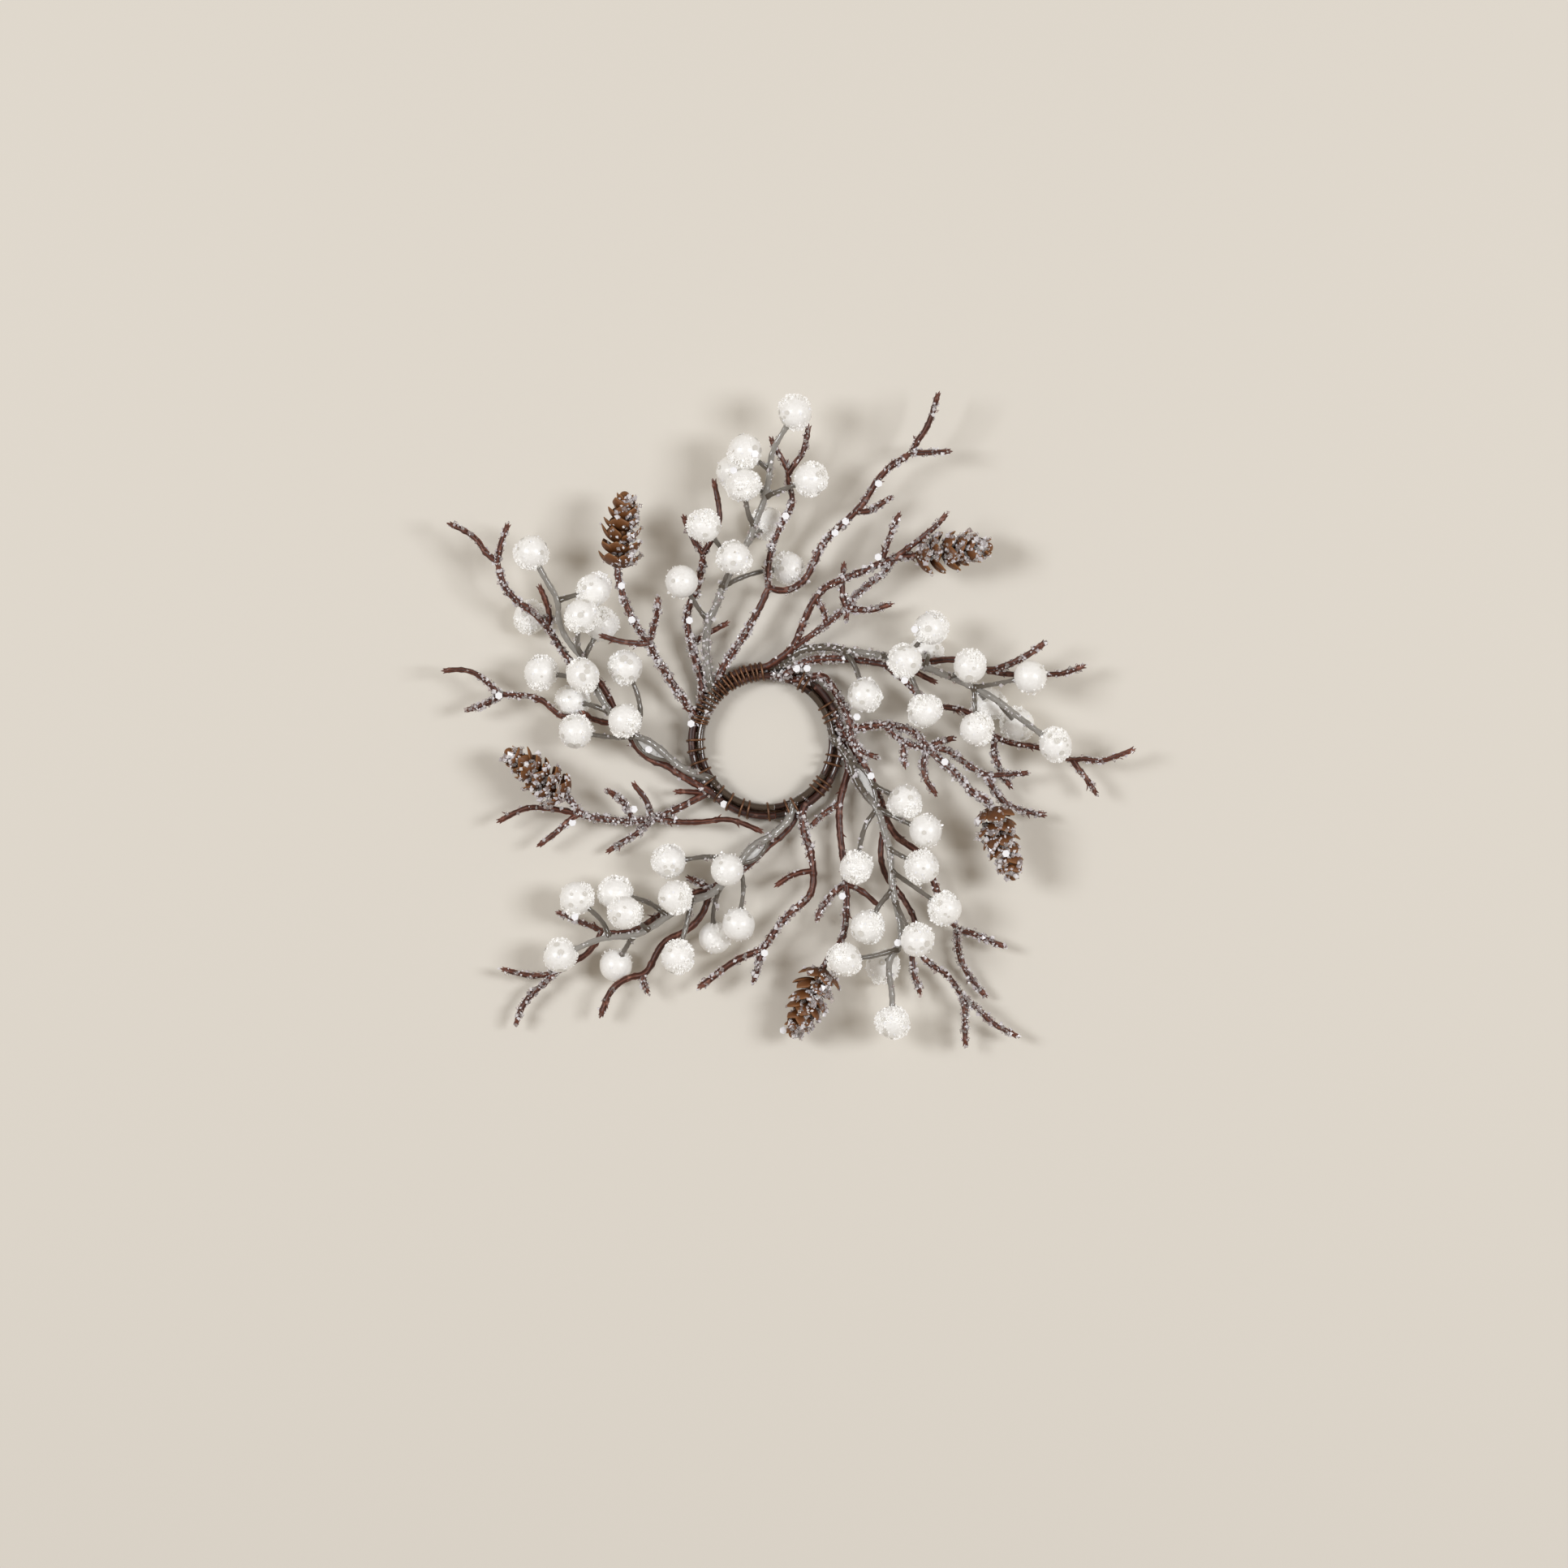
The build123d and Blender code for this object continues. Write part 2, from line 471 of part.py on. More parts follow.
def berry_stem(unit, spray):
    """A grey stem with its eye, pedicels and pegs, and its tail along the hoop."""
    main = [place(share) for share in spray["main"]]
    with BuildPart() as stem:
        add_tube(main + [peg_end(spray, spray["last"] - 1)], stem_diameter)
        add_tube(tail_points(spray), tail_diameter)
        if spray["eye"]:
            add_tube([place(share) for share in spray["eye"]], pedicel_diameter)
        for number, shares in enumerate(spray["pedicels"]):
            if shares:
                add_tube([place(share) for share in shares] + [peg_end(spray, number)], pedicel_diameter)
    finish(stem.part, f"berry_stem_{unit}")


def berries(unit, spray):
    """The berries of one spray, each with a blind bore for its peg."""
    with BuildPart() as group:
        for number, share in enumerate(spray["berries"]):
            centre, direction = berry_seat(spray, number)
            with Locations(centre):
                Sphere(berry_radius)
            bottom = centre - direction * (berry_radius - berry_bore_depth)
            peg = pedicel_diameter if spray["pedicels"][number] else stem_diameter
            with Locations(Plane(origin=bottom, z_dir=-direction)):
                Cylinder(peg / 2 + peg_clearance, berry_bore_depth + overrun,
                         align=(Align.CENTER, Align.CENTER, Align.MIN), mode=Mode.SUBTRACT)
    finish(group.part, f"berries_{unit}")


def cone_axis(spray):
    base, tip = (place(share) for share in spray["cone"])
    return base, towards(base, tip)


def twig(spray, name):
    """A brown twig with its arms, and its tail along the hoop."""
    main = [place(share) for share in spray["main"]]
    with BuildPart() as stem:
        if "cone" in spray:
            base, way = cone_axis(spray)
            seat = base + way * (cone_socket_depth - peg_end_gap)
            add_tube(main + [base - way * cone_lead, seat], twig_diameter)
        else:
            add_pointed_tube(main, twig_diameter)
        add_tube(tail_points(spray), tail_diameter)
        for shares in spray["arms"]:
            arm = [place(share) for share in shares]
            if shares[-1] in spray["main"]:
                add_tube(arm, arm_diameter)
            else:
                add_pointed_tube(arm, arm_diameter)
    finish(stem.part, name)


def pine_cone():
    """A core with pointed scales in a spiral, standing on its base at the origin."""
    outline = [(cone_core_radius * across, cone_length * up) for across, up in core_outline_shares]
    with BuildPart() as cone:
        with BuildSketch(Plane.XZ):
            with BuildLine():
                Line((0, 0), outline[0])
                Spline(*outline)
                Line(outline[-1], (0, 0))
            make_face()
        revolve(axis=Axis.Z)
        for number in range(cone_scale_count):
            add_scale(number)
        with Locations((0, 0, -overrun)):
            Cylinder(twig_diameter / 2 + cone_seat_clearance, cone_socket_depth + overrun,
                     align=(Align.CENTER, Align.CENTER, Align.MIN), mode=Mode.SUBTRACT)
    return cone.part


def add_scale(number):
    """One scale: a loft from its foot in the core to its raised tip."""
    along = number / (cone_scale_count - 1)
    foot = cone_length * (scale_foot_share + scale_span_share * along)
    reach = cone_radius * sin(pi * (along + envelope_start_share) / envelope_span_share) ** envelope_power
    outward = on_hoop(1, cone_scale_turn * number, 0)
    upward = Vector(0, 0, 1)
    sections = []
    for out, up, wide, thick, faces_out, faces_up in scale_section_shares:
        origin = outward * (reach * out) + upward * (foot + reach * scale_rise_share * up)
        facing = outward * faces_out + upward * faces_up
        with BuildSketch(Plane(origin=origin, x_dir=outward.cross(upward), z_dir=facing)) as section:
            Ellipse(reach * wide, reach * thick)
        sections.append(section.sketch)
    loft(sections=sections)


def placed_cone(unit, spray, cone):
    base, way = cone_axis(spray)
    with BuildPart() as placed:
        with Locations(Plane(origin=base, z_dir=way)):
            add(cone)
    finish(placed.part, f"cone_{unit}")


os.makedirs("parts", exist_ok=True)
hoop_wire("in", "hoop_wire_inner")
hoop_wire("out", "hoop_wire_outer")
binding_wire()
shared_cone = pine_cone()
for unit in range(1, 6):
    berry_stem(unit, berry_stems_share[unit - 1])
    berries(unit, berry_stems_share[unit - 1])
    twig(cone_twigs_share[unit - 1], f"cone_twig_{unit}")
    placed_cone(unit, cone_twigs_share[unit - 1], shared_cone)
for number, spray in enumerate(side_twigs_share, start=1):
    twig(spray, f"side_twig_{number}")
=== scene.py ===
from math import cos, pi, radians, sin, tan

import bpy
import numpy as np
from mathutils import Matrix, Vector


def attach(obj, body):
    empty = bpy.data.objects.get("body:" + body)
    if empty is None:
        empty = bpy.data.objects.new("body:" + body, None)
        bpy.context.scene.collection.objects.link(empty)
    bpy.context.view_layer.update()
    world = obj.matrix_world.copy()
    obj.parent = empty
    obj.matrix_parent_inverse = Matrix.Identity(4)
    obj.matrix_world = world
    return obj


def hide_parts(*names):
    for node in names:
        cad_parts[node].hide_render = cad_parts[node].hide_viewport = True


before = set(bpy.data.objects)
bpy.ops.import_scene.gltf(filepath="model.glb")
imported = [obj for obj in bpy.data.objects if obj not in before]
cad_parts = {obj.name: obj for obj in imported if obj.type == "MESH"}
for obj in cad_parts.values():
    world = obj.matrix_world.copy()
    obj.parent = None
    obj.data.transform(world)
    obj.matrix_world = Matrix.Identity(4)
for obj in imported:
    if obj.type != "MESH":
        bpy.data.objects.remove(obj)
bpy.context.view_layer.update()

# Everything is worked out in millimetres and turned to metres when a piece is made.
MM = 0.001
UP = np.array((0, 0, 1.0))
rng = np.random.default_rng(7)

# The part's sizes
REACH, CROWN = 0.13, 0.05
HOOP_RADIUS, HOOP_HEIGHT = 23.4, 4.5
PITCH = 1.8
# The bundle shows as broad as its winding: the twigs' ends fill it, so each strand is drawn thicker.
STRAND, SPREAD = 1.15, 2.9
COLUMNS = {"in": HOOP_RADIUS - SPREAD / 2, "out": HOOP_RADIUS + SPREAD / 2}
ROWS = {0: HOOP_HEIGHT - PITCH, 1: HOOP_HEIGHT, 2: HOOP_HEIGHT + PITCH}
TAIL_STARTS = {1: 277, 2: 190, 3: 118, 4: 48, 5: 330}
TAIL_STEP = 8
BERRY = 5.5

# Routes: (x, y, z) in steps of REACH and CROWN, from the hoop outwards. tail says where the bound end of
# a stem or twig starts, slot its column and row in the bundle, and exit the angle where it leaves the hoop.
# last is the berry at the end of the main run. In an eye, a pedicel or an arm, a whole number stands for
# that point of its spray's main run.
berry_stems_share = (
    dict(tail=1, slot=("in", 2), exit=214, main=((-200, -78, 150), (-240, -50, 170), (-268, -22, 190),
        (-305, 5, 210), (-340, 15, 230), (-400, 75, 270), (-435, 135, 300), (-465, 210, 330),
        (-510, 260, 350), (-530, 310, 360), (-528, 360, 380), (-560, 410, 420)), last=1,
        eye=(1, (-288, -42, 175), (-322, -20, 190), 4),
        berries=((-597, 482, 460), (-437, 388, 360), (-470, 320, 480), (-420, 298, 270), (-605, 318, 0),
        (-575, 176, 300), (-466, 168, 480), (-357, 190, 300), (-497, 104, 0), (-486, 24, 300),
        (-360, 54, 420)),
        pedicels=((), (10,), (7, (-484, 245, 375)), (7, (-452, 238, 300)), (9, (-540, 318, 200)),
        (6, (-500, 166, 320)), (6,), (4, (-318, 60, 240), (-326, 118, 260)), (5, (-440, 92, 230)),
        (4, (-385, 8, 240)), (4,))),
    dict(tail=2, slot=("in", 2), exit=146, main=((-140, 140, 130), (-150, 185, 140), (-155, 250, 170),
        (-148, 310, 210), (-125, 350, 240), (-112, 395, 270), (-80, 450, 300), (-45, 510, 320),
        (-30, 550, 340), (0, 625, 370), (10, 690, 400), (14, 740, 430)), last=1, eye=(),
        berries=((74, 836, 500), (-53, 740, 450), (-85, 690, 270), (-58, 652, 470), (112, 668, 420),
        (-157, 548, 460), (-80, 466, 520), (-215, 408, 330), (58, 443, 0), (5, 560, 0)),
        pedicels=((), (10,), (9, (-25, 655, 300)), (8, (-45, 575, 380)), (9,), (6, (-120, 500, 370)), (5,),
        (3, (-170, 335, 230)), (5, (-60, 422, 200), (-5, 438, 150)), (7, (-25, 530, 230)))),
    dict(tail=3, slot=("out", 1), exit=82, main=((58, 215, 130), (95, 238, 170), (160, 243, 200),
        (200, 232, 220), (300, 220, 270), (350, 205, 300), (405, 190, 330), (470, 165, 350),
        (530, 138, 360), (590, 105, 350), (640, 65, 340)), last=9, eye=(),
        berries=((420, 288, 400), (355, 205, 500), (410, 230, 0), (519, 190, 480), (673, 165, 400),
        (250, 118, 300), (404, 78, 400), (535, 32, 400), (738, -8, 330), (572, 97, 0), (645, 45, 0)),
        pedicels=((5,), (4,), (6, (414, 216, 325)), (7,), (8, (580, 145, 380)), (3, (228, 195, 230)),
        (5, (378, 150, 340)), (8,), (), (8,), (9, (612, 75, 280)))),
    dict(tail=4, slot=("in", 2), exit=4, main=((196, -22, 140), (215, -52, 170), (228, -95, 190),
        (250, -132, 210), (285, -170, 230), (300, -220, 260), (315, -275, 290), (320, -330, 310),
        (322, -380, 320), (330, -410, 330), (342, -455, 340), (345, -495, 350), (335, -530, 355),
        (315, -552, 350), (312, -590, 340), (322, -640, 330)), last=9,
        eye=(1, (252, -72, 185), (275, -112, 210), 4),
        berries=((355, -152, 300), (407, -227, 340), (229, -323, 340), (399, -320, 420), (457, -426, 340),
        (257, -473, 340), (200, -553, 500), (384, -507, 460), (322, -716, 320), (297, -575, 0)),
        pedicels=(((275, -112, 210),), (4, (332, -195, 270)), (4, (250, -215, 240)), (6,),
        (7, (362, -360, 320)), (8, (292, -412, 330)), (12, (270, -548, 420)), (9, (350, -455, 390)), (),
        (12,))),
    dict(tail=5, slot=("in", 2), exit=294, main=((62, -195, 140), (38, -222, 160), (8, -246, 180),
        (-35, -265, 195), (-70, -312, 220), (-95, -345, 240), (-120, -375, 250), (-150, -395, 260),
        (-190, -403, 270), (-250, -445, 280), (-300, -480, 290), (-340, -497, 300), (-400, -499, 300),
        (-435, -507, 300)), last=10,
        eye=(2, (-2, -275, 180), (-30, -305, 195), 4),
        berries=((-99, -327, 420), (-247, -307, 280), (-233, -397, 440), (-70, -467, 300), (-131, -502, 0),
        (-226, -550, 320), (-358, -436, 420), (-385, -388, 240), (-484, -399, 320), (-526, -547, 300),
        (-385, -573, 0)),
        pedicels=((4,), (4, (-130, -290, 235)), (8,), (4, (-55, -365, 240)), (6, (-137, -440, 170)),
        (8, (-203, -470, 290)), (10,), (9, (-300, -408, 260)), (12, (-418, -455, 310)), (),
        (11, (-357, -525, 230)))),
)
cone_twigs_share = (
    dict(tail=1, slot=("out", 1), exit=226, cone=((-512, -140, 260), (-660, -25, 300)),
        main=((-152, -132, 100), (-200, -158, 110), (-255, -186, 120), (-290, -197, 130), (-340, -205, 150),
        (-400, -200, 170), (-450, -193, 190), (-478, -185, 210)),
        arms=((3, (-225, -207, 150), (-160, -206, 170), (-100, -196, 185), (-50, -212, 200),
        (-5, -234, 220)), (7, (-530, -174, 210), (-600, -166, 205), (-640, -180, 200), (-690, -208, 190)),
        (7, (-505, -203, 200), (-540, -236, 190), (-588, -270, 180)), (4, (-352, -172, 170),
        (-375, -145, 190), (-412, -120, 210)), (3, (-305, -150, 150), (-325, -125, 160), (-345, -103, 170)),
        (3, (-330, -237, 120), (-360, -252, 110), (-412, -285, 100)), (0, (-195, -128, 110),
        (-240, -127, 120)))),
    dict(tail=2, slot=("out", 2), exit=160, cone=((-377, 443, 400), (-358, 645, 420)),
        main=((-203, 92, 150), (-226, 130, 190), (-260, 180, 250), (-285, 220, 290), (-297, 250, 310),
        (-315, 270, 320), (-340, 310, 340), (-360, 355, 360), (-370, 395, 380)),
        arms=((4, (-330, 250, 340), (-375, 255, 370), (-427, 273, 400)), (4, (-287, 295, 340),
        (-275, 330, 370), (-275, 372, 400)))),
    dict(tail=3, slot=("out", 2), exit=90, cone=((385, 475, 330), (568, 495, 340)), main=((35, 213, 158),
        (70, 240, 185), (90, 290, 220), (110, 340, 250), (125, 365, 260), (150, 395, 270), (185, 410, 280),
        (220, 425, 290), (260, 440, 300), (295, 457, 310), (330, 470, 320)),
        arms=((1, (110, 268, 190), (150, 297, 200), (205, 340, 215), (225, 370, 225), (260, 400, 240),
        (300, 428, 260), 10), ((205, 340, 215), (195, 370, 222), (195, 410, 228), (200, 462, 235)),
        ((205, 340, 215), (240, 337, 215), (270, 335, 220), (300, 345, 230), (327, 353, 240)),
        ((205, 340, 215), (207, 305, 215)), (4, (150, 335, 230), (150, 297, 200)), (9, (305, 490, 330),
        (315, 520, 340), (330, 560, 350), (343, 587, 360)), (10, (385, 510, 400), (430, 545, 430),
        (463, 582, 440)))),
    dict(tail=3, slot=("in", 1), exit=66, cone=((572, -170, 370), (628, -335, 340)), main=((112, 165, 100),
        (150, 172, 130), (186, 115, 170), (212, 65, 190), (216, 30, 196), (300, 45, 235), (345, 38, 235),
        (385, 20, 225), (412, -16, 210), (440, -45, 230), (470, -65, 260), (500, -100, 300),
        (530, -135, 340)),
        arms=((4, (222, 0, 200), (238, -22, 190), (265, -35, 180), (290, -40, 170)), (5, (328, 15, 225),
        (352, -2, 215), (382, -12, 210), 8), (8, (465, -20, 210), (492, -42, 215), (530, -70, 220),
        (565, -88, 225), (600, -85, 230), (640, -82, 230), (677, -80, 230)), ((565, -88, 225),
        (585, -130, 200), (615, -160, 180), (650, -175, 170), (720, -190, 160)), (8, (440, -2, 215),
        (488, 12, 220)), ((352, -2, 215), (350, -35, 200), (357, -72, 190)), (8, (400, -60, 190),
        (408, -98, 180), (425, -120, 170), (438, -142, 160)))),
    dict(tail=4, slot=("out", 1), exit=4, cone=((145, -580, 240), (62, -765, 220)), main=((205, -32, 85),
        (213, -70, 85), (200, -110, 95), (187, -160, 105), (188, -220, 115), (195, -280, 125),
        (205, -365, 150), (206, -400, 165), (205, -450, 180), (200, -490, 200), (185, -522, 220)),
        arms=((6, (175, -382, 160), (158, -405, 165), (140, -425, 170), (127, -463, 175)),
        (6, (235, -375, 155), (265, -397, 155), (292, -425, 150)), (3, (150, -183, 110), (130, -200, 120),
        (112, -222, 130)))),
)
side_twigs_share = (
    dict(tail=1, slot=("out", 2), exit=221, main=((-212, -92, 130), (-254, -60, 125), (-290, -50, 130),
        (-325, -24, 140), (-352, 18, 150), (-378, 55, 165), (-392, 95, 190), (-422, 150, 225),
        (-460, 178, 235), (-500, 205, 250), (-525, 235, 260), (-555, 290, 280), (-600, 335, 310),
        (-630, 352, 320), (-655, 378, 330), (-672, 405, 340), (-685, 458, 350)),
        arms=((16, (-715, 480, 360), (-735, 515, 350), (-768, 538, 330), (-815, 558, 300)),
        (16, (-678, 490, 380), (-672, 515, 400), (-654, 558, 420)), (11, (-552, 325, 300), (-562, 360, 330),
        (-580, 402, 360)), (5, (-405, 45, 170), (-450, 60, 185), (-490, 64, 205), (-520, 62, 210),
        (-545, 80, 215), (-570, 105, 220), (-600, 116, 230), (-640, 118, 240), (-680, 120, 250),
        (-700, 140, 260), (-735, 172, 270), (-775, 185, 280), (-830, 180, 290)), ((-680, 120, 250),
        (-705, 100, 245), (-740, 88, 235), (-770, 78, 225)), ((-450, 60, 185), (-472, 80, 230)))),
    dict(tail=2, slot=("out", 1), exit=150, main=((-163, 150, 100), (-178, 200, 110), (-192, 250, 130),
        (-203, 300, 160), (-198, 350, 180), (-175, 390, 200), (-165, 440, 220), (-160, 480, 240)),
        arms=((7, (-145, 505, 245), (-118, 560, 235), (-120, 600, 235), (-130, 650, 240), (-137, 673, 250)),
        (7, (-185, 512, 250), (-205, 560, 260), (-213, 582, 270)), (2, (-155, 274, 95), (-130, 287, 95),
        (-92, 308, 100)))),
    dict(tail=2, slot=("in", 1), exit=140, main=((-128, 150, 100), (-112, 187, 120), (-90, 225, 150),
        (-60, 265, 180), (-35, 310, 210), (-10, 355, 230), (5, 395, 240), (30, 386, 235), (60, 387, 230),
        (90, 405, 230), (110, 430, 230), (125, 465, 235), (140, 500, 240), (170, 535, 250), (200, 560, 260),
        (228, 587, 270), (250, 610, 280), (270, 645, 290), (290, 675, 300), (320, 705, 310),
        (350, 722, 320), (372, 737, 330)),
        arms=((6, (4, 430, 245), (10, 480, 260), (22, 515, 280), (42, 560, 300), (62, 590, 300),
        (68, 615, 300), (64, 640, 300), (57, 665, 310), (58, 685, 330), (45, 715, 350), (30, 738, 360),
        (8, 778, 380)), ((58, 685, 330), (75, 710, 340), (95, 735, 340), (105, 780, 330), (109, 812, 330)),
        (21, (384, 764, 340), (407, 793, 360), (422, 828, 380), (431, 863, 400), (442, 892, 420)),
        (21, (407, 736, 330), (442, 738, 330), (477, 740, 330)), (15, (267, 588, 260), (291, 606, 250),
        (325, 629, 240)))),
    dict(tail=3, slot=("in", 2), exit=76, main=((80, 195, 130), (120, 212, 150), (165, 214, 165),
        (250, 208, 180), (300, 198, 205), (355, 196, 220), (410, 203, 230), (475, 212, 250),
        (520, 200, 260), (565, 180, 270), (600, 188, 290), (640, 205, 310), (675, 225, 330),
        (715, 255, 350)),
        arms=((9, (620, 172, 250), (670, 168, 240), (715, 172, 240), (760, 172, 250), (818, 197, 270)),
        (5, (385, 175, 215), (440, 148, 230)), (4, (335, 172, 200), (365, 145, 200), (392, 118, 200),
        (430, 92, 200), (482, 86, 202), (520, 75, 200), (560, 40, 200), (585, 10, 200), (640, -8, 200),
        (690, -12, 195), (740, -32, 190), (785, -50, 200), (810, -42, 215), (850, -52, 230),
        (890, -40, 245), (945, -18, 260)), ((785, -50, 200), (800, -72, 200), (820, -95, 200),
        (847, -140, 190)), ((585, 10, 200), (580, -25, 190), (592, -55, 180), (605, -90, 170),
        (632, -122, 160)))),
    dict(tail=4, slot=("out", 2), exit=14, main=((212, 4, 120), (237, -38, 115), (262, -82, 110),
        (282, -122, 110), (297, -160, 105), (307, -197, 105), (330, -240, 110), (360, -262, 110),
        (388, -279, 115), (412, -318, 115), (430, -360, 115), (440, -395, 115), (465, -440, 120),
        (488, -482, 130)),
        arms=((13, (520, -487, 140), (560, -505, 150), (617, -527, 160)), (13, (490, -530, 120),
        (505, -575, 110), (525, -610, 100), (567, -657, 90)), (5, (296, -245, 100), (292, -290, 100),
        (300, -330, 100), (315, -358, 110), (340, -385, 120), (362, -420, 130), (382, -455, 140),
        (380, -505, 150), (398, -550, 160), (430, -577, 170), (460, -592, 170), (482, -620, 170),
        (502, -652, 170), (525, -668, 180), (550, -690, 190), (572, -714, 190), (600, -732, 180),
        (647, -755, 170)), ((380, -505, 150), (372, -555, 150), (380, -600, 150), (396, -650, 150)),
        ((502, -652, 170), (511, -690, 180), (508, -740, 170), (512, -783, 160)))),
    dict(tail=5, slot=("out", 2), exit=300, main=((92, -198, 140), (98, -240, 160), (110, -265, 170),
        (116, -292, 175), (121, -330, 180), (121, -370, 185), (108, -402, 190), (75, -427, 200),
        (45, -455, 210), (15, -495, 215), (-8, -532, 220), (-40, -542, 220), (-80, -560, 220),
        (-115, -585, 215), (-145, -610, 210), (-177, -632, 200)),
        arms=((10, (-18, -562, 225), (-26, -592, 230), (-35, -620, 230)), (4, (80, -336, 190),
        (50, -350, 200), (20, -373, 210)))),
    dict(tail=5, slot=("out", 1), exit=296, main=((66, -212, 100), (38, -242, 105), (10, -262, 110),
        (-15, -288, 120), (-55, -325, 130), (-100, -352, 140), (-140, -376, 150), (-150, -410, 150),
        (-162, -442, 150), (-190, -475, 150), (-215, -490, 150), (-260, -510, 155), (-280, -540, 160),
        (-298, -580, 165), (-315, -597, 180), (-350, -602, 195), (-385, -622, 200), (-405, -650, 195),
        (-415, -680, 175), (-426, -708, 170)),
        arms=((14, (-312, -622, 180), (-300, -648, 180)), (6, (-190, -388, 150), (-235, -415, 150),
        (-275, -445, 150), (-305, -465, 150), (-335, -482, 150), (-380, -492, 150), (-420, -485, 150),
        (-450, -470, 155), (-480, -460, 160), (-515, -442, 165), (-540, -435, 170)), (6, (-180, -356, 160),
        (-207, -345, 165)), ((-420, -485, 150), (-435, -515, 145), (-460, -545, 140), (-482, -557, 140),
        (-545, -595, 140), (-600, -600, 145), (-625, -595, 150), (-682, -580, 160)), ((-545, -595, 140),
        (-565, -617, 140), (-590, -637, 135), (-615, -662, 130), (-630, -690, 130), (-642, -730, 130)))),
)

# How thickly the grains lie at even steps along a run, from 0 to 9, run by run
stem_frost = ("7532221100", "8876543211", "7766532111", "6543212121", "6531222111")
cone_twig_frost = (
    ("0039999999", "9300000", "20110", "3210", "9989", "6210", "99974", "100"),
    ("5888877665", "5200", "7878"),
    ("0012346788", "3456789987", "5321", "5778", "89", "357", "44566", "2123"),
    ("6787889998", "7888", "6788", "7777766", "77765", "876", "777", "8777"),
    ("000000144430", "2677", "1110", "2787"))
side_twig_frost = (
    ("32001112466777", "43332", "6544", "4100", "10012223567873001", "9876", "21"),
    ("5677666665", "4321000", "4320", "7210"),
    ("334678930223455665444457", "7555698445544", "23445", "52233", "6544", "5567"),
    ("9987543210012567", "010124567", "1100", "222334557320223223", "1234", "67888"),
    ("984321100013579", "9889", "88887", "0000000123577888778", "00687", "8777"),
    ("0389841014678877531246", "7888", "01120"),
    ("000002432100000000123", "588", "0001112224567", "9999", "00015334", "65666"))

# Bright hexagonal flakes seen on the ring, with x and y in steps of REACH
sequins = (
    (-682, 117), (-368, 396), (-196, 310), (50, 575), (176, 533), (203, 562), (286, 470), (287, 658),
    (78, 187), (105, 188), (378, 285), (352, 155), (232, 63), (456, -52), (-300, -20), (-4, -540),
    (44, -738), (610, -285), (195, -395), (-82, 688), (-28, 730), (335, -512), (268, -88), (-192, 46),
    (-487, -447), (-338, -173), (-495, -207), (-342, 310), (-108, -160))

# Angles at which the binding wire passes over the hoop, in the order in which it is wound
binding_turns = (
    166, 162, 158.5, 154.5, 151, 147, 143, 139.5, 136, 132, 128.5, 124.5, 121, 117, 113, 109.5, 105.5,
    101.5, 97.5, 93, 60, 55, 31.5, 23, 19, 347, 342, 326, 322, 317, 295, 288, 271.5, 255, 250, 237.5,
    228, 215, 205, 196, 186, 178)

# How far past its tail each grey stem stays dark with painted shade, and how each cone's frost leans and how
# thick it is
stem_shaded = (0, 6, 26, 22, 0)
cone_frost = ((-0.3, 22), (1.4, 14), (-0.3, 26), (0.3, 19), (-0.5, 25))


def place(share):
    return np.array((share[0] * REACH, share[1] * REACH, share[2] * CROWN))


def route(spray, shares):
    """Places along a run."""
    return [place(spray["main"][share] if isinstance(share, int) else share) for share in shares]


def on_hoop(radius, angle, height):
    return np.array((radius * cos(radians(angle)), radius * sin(radians(angle)), height))


def unit(vector):
    return vector / np.linalg.norm(vector, axis=-1, keepdims=True)


def spoke(turn, across, up):
    """Directions at these angles in the plane of two others."""
    turn = np.asarray(turn)[..., None]
    return np.cos(turn) * across + np.sin(turn) * up


def circle(count):
    return np.linspace(0, 2 * pi, count, endpoint=False)


def keep_above(points, height):
    points[:, 2] = np.maximum(points[:, 2], height)


def hump(distance, width):
    """1 at no distance, and less on both sides."""
    return np.exp(-(distance / width) ** 2)


def points_at(places, along, line):
    return np.column_stack([np.interp(places, along, line[:, axis]) for axis in range(3)])


def smooth_path(points, step=0.4, rounds=4):
    """Corner cutting, then even steps along the result."""
    line = np.array(points, float)
    for _ in range(rounds):
        cut = np.empty((2 * len(line) - 2, 3))
        cut[0::2] = line[:-1] * 0.75 + line[1:] * 0.25
        cut[1::2] = line[:-1] * 0.25 + line[1:] * 0.75
        line = np.vstack((line[:1], cut, line[-1:]))
    lengths = np.linalg.norm(np.diff(line, axis=0), axis=1)
    along = np.concatenate(([0], np.cumsum(lengths)))
    even = np.linspace(0, along[-1], max(4, int(along[-1] / step)))
    return points_at(even, along, line), even


def resample(points, count):
    path, along = smooth_path(points, step=0.2)
    return points_at(np.linspace(0, along[-1], count), along, path)


def frames(path):
    """Directions along the path and two directions across it that turn as little as they can."""
    ways = unit(np.gradient(path, axis=0))
    side = np.cross(ways[0], UP)
    side = unit(side if np.linalg.norm(side) > 0.01 else np.array((1.0, 0, 0)))
    sides = [side]
    for way in ways[1:]:
        side = side - way * side.dot(way)
        side = side / np.linalg.norm(side)
        sides.append(side)
    sides = np.array(sides)
    return ways, sides, np.cross(ways, sides)


def profile(digits, along):
    """The table's digits, read at these places along a run."""
    values = np.array(list(digits), float)
    return np.interp(along / along[-1], np.linspace(0, 1, len(values)), values)


# Slots of the finishes: a stem's, twig's or cone's own one and those of what lies on it, and a berry's
BODY, CLEAR, WHITE, FILM, SHINE = range(5)
PEARL, ICE, SNOW, FLAKE = range(4)


def add_object(name, data):
    made = bpy.data.objects.new(name, data)
    bpy.context.scene.collection.objects.link(made)
    return made


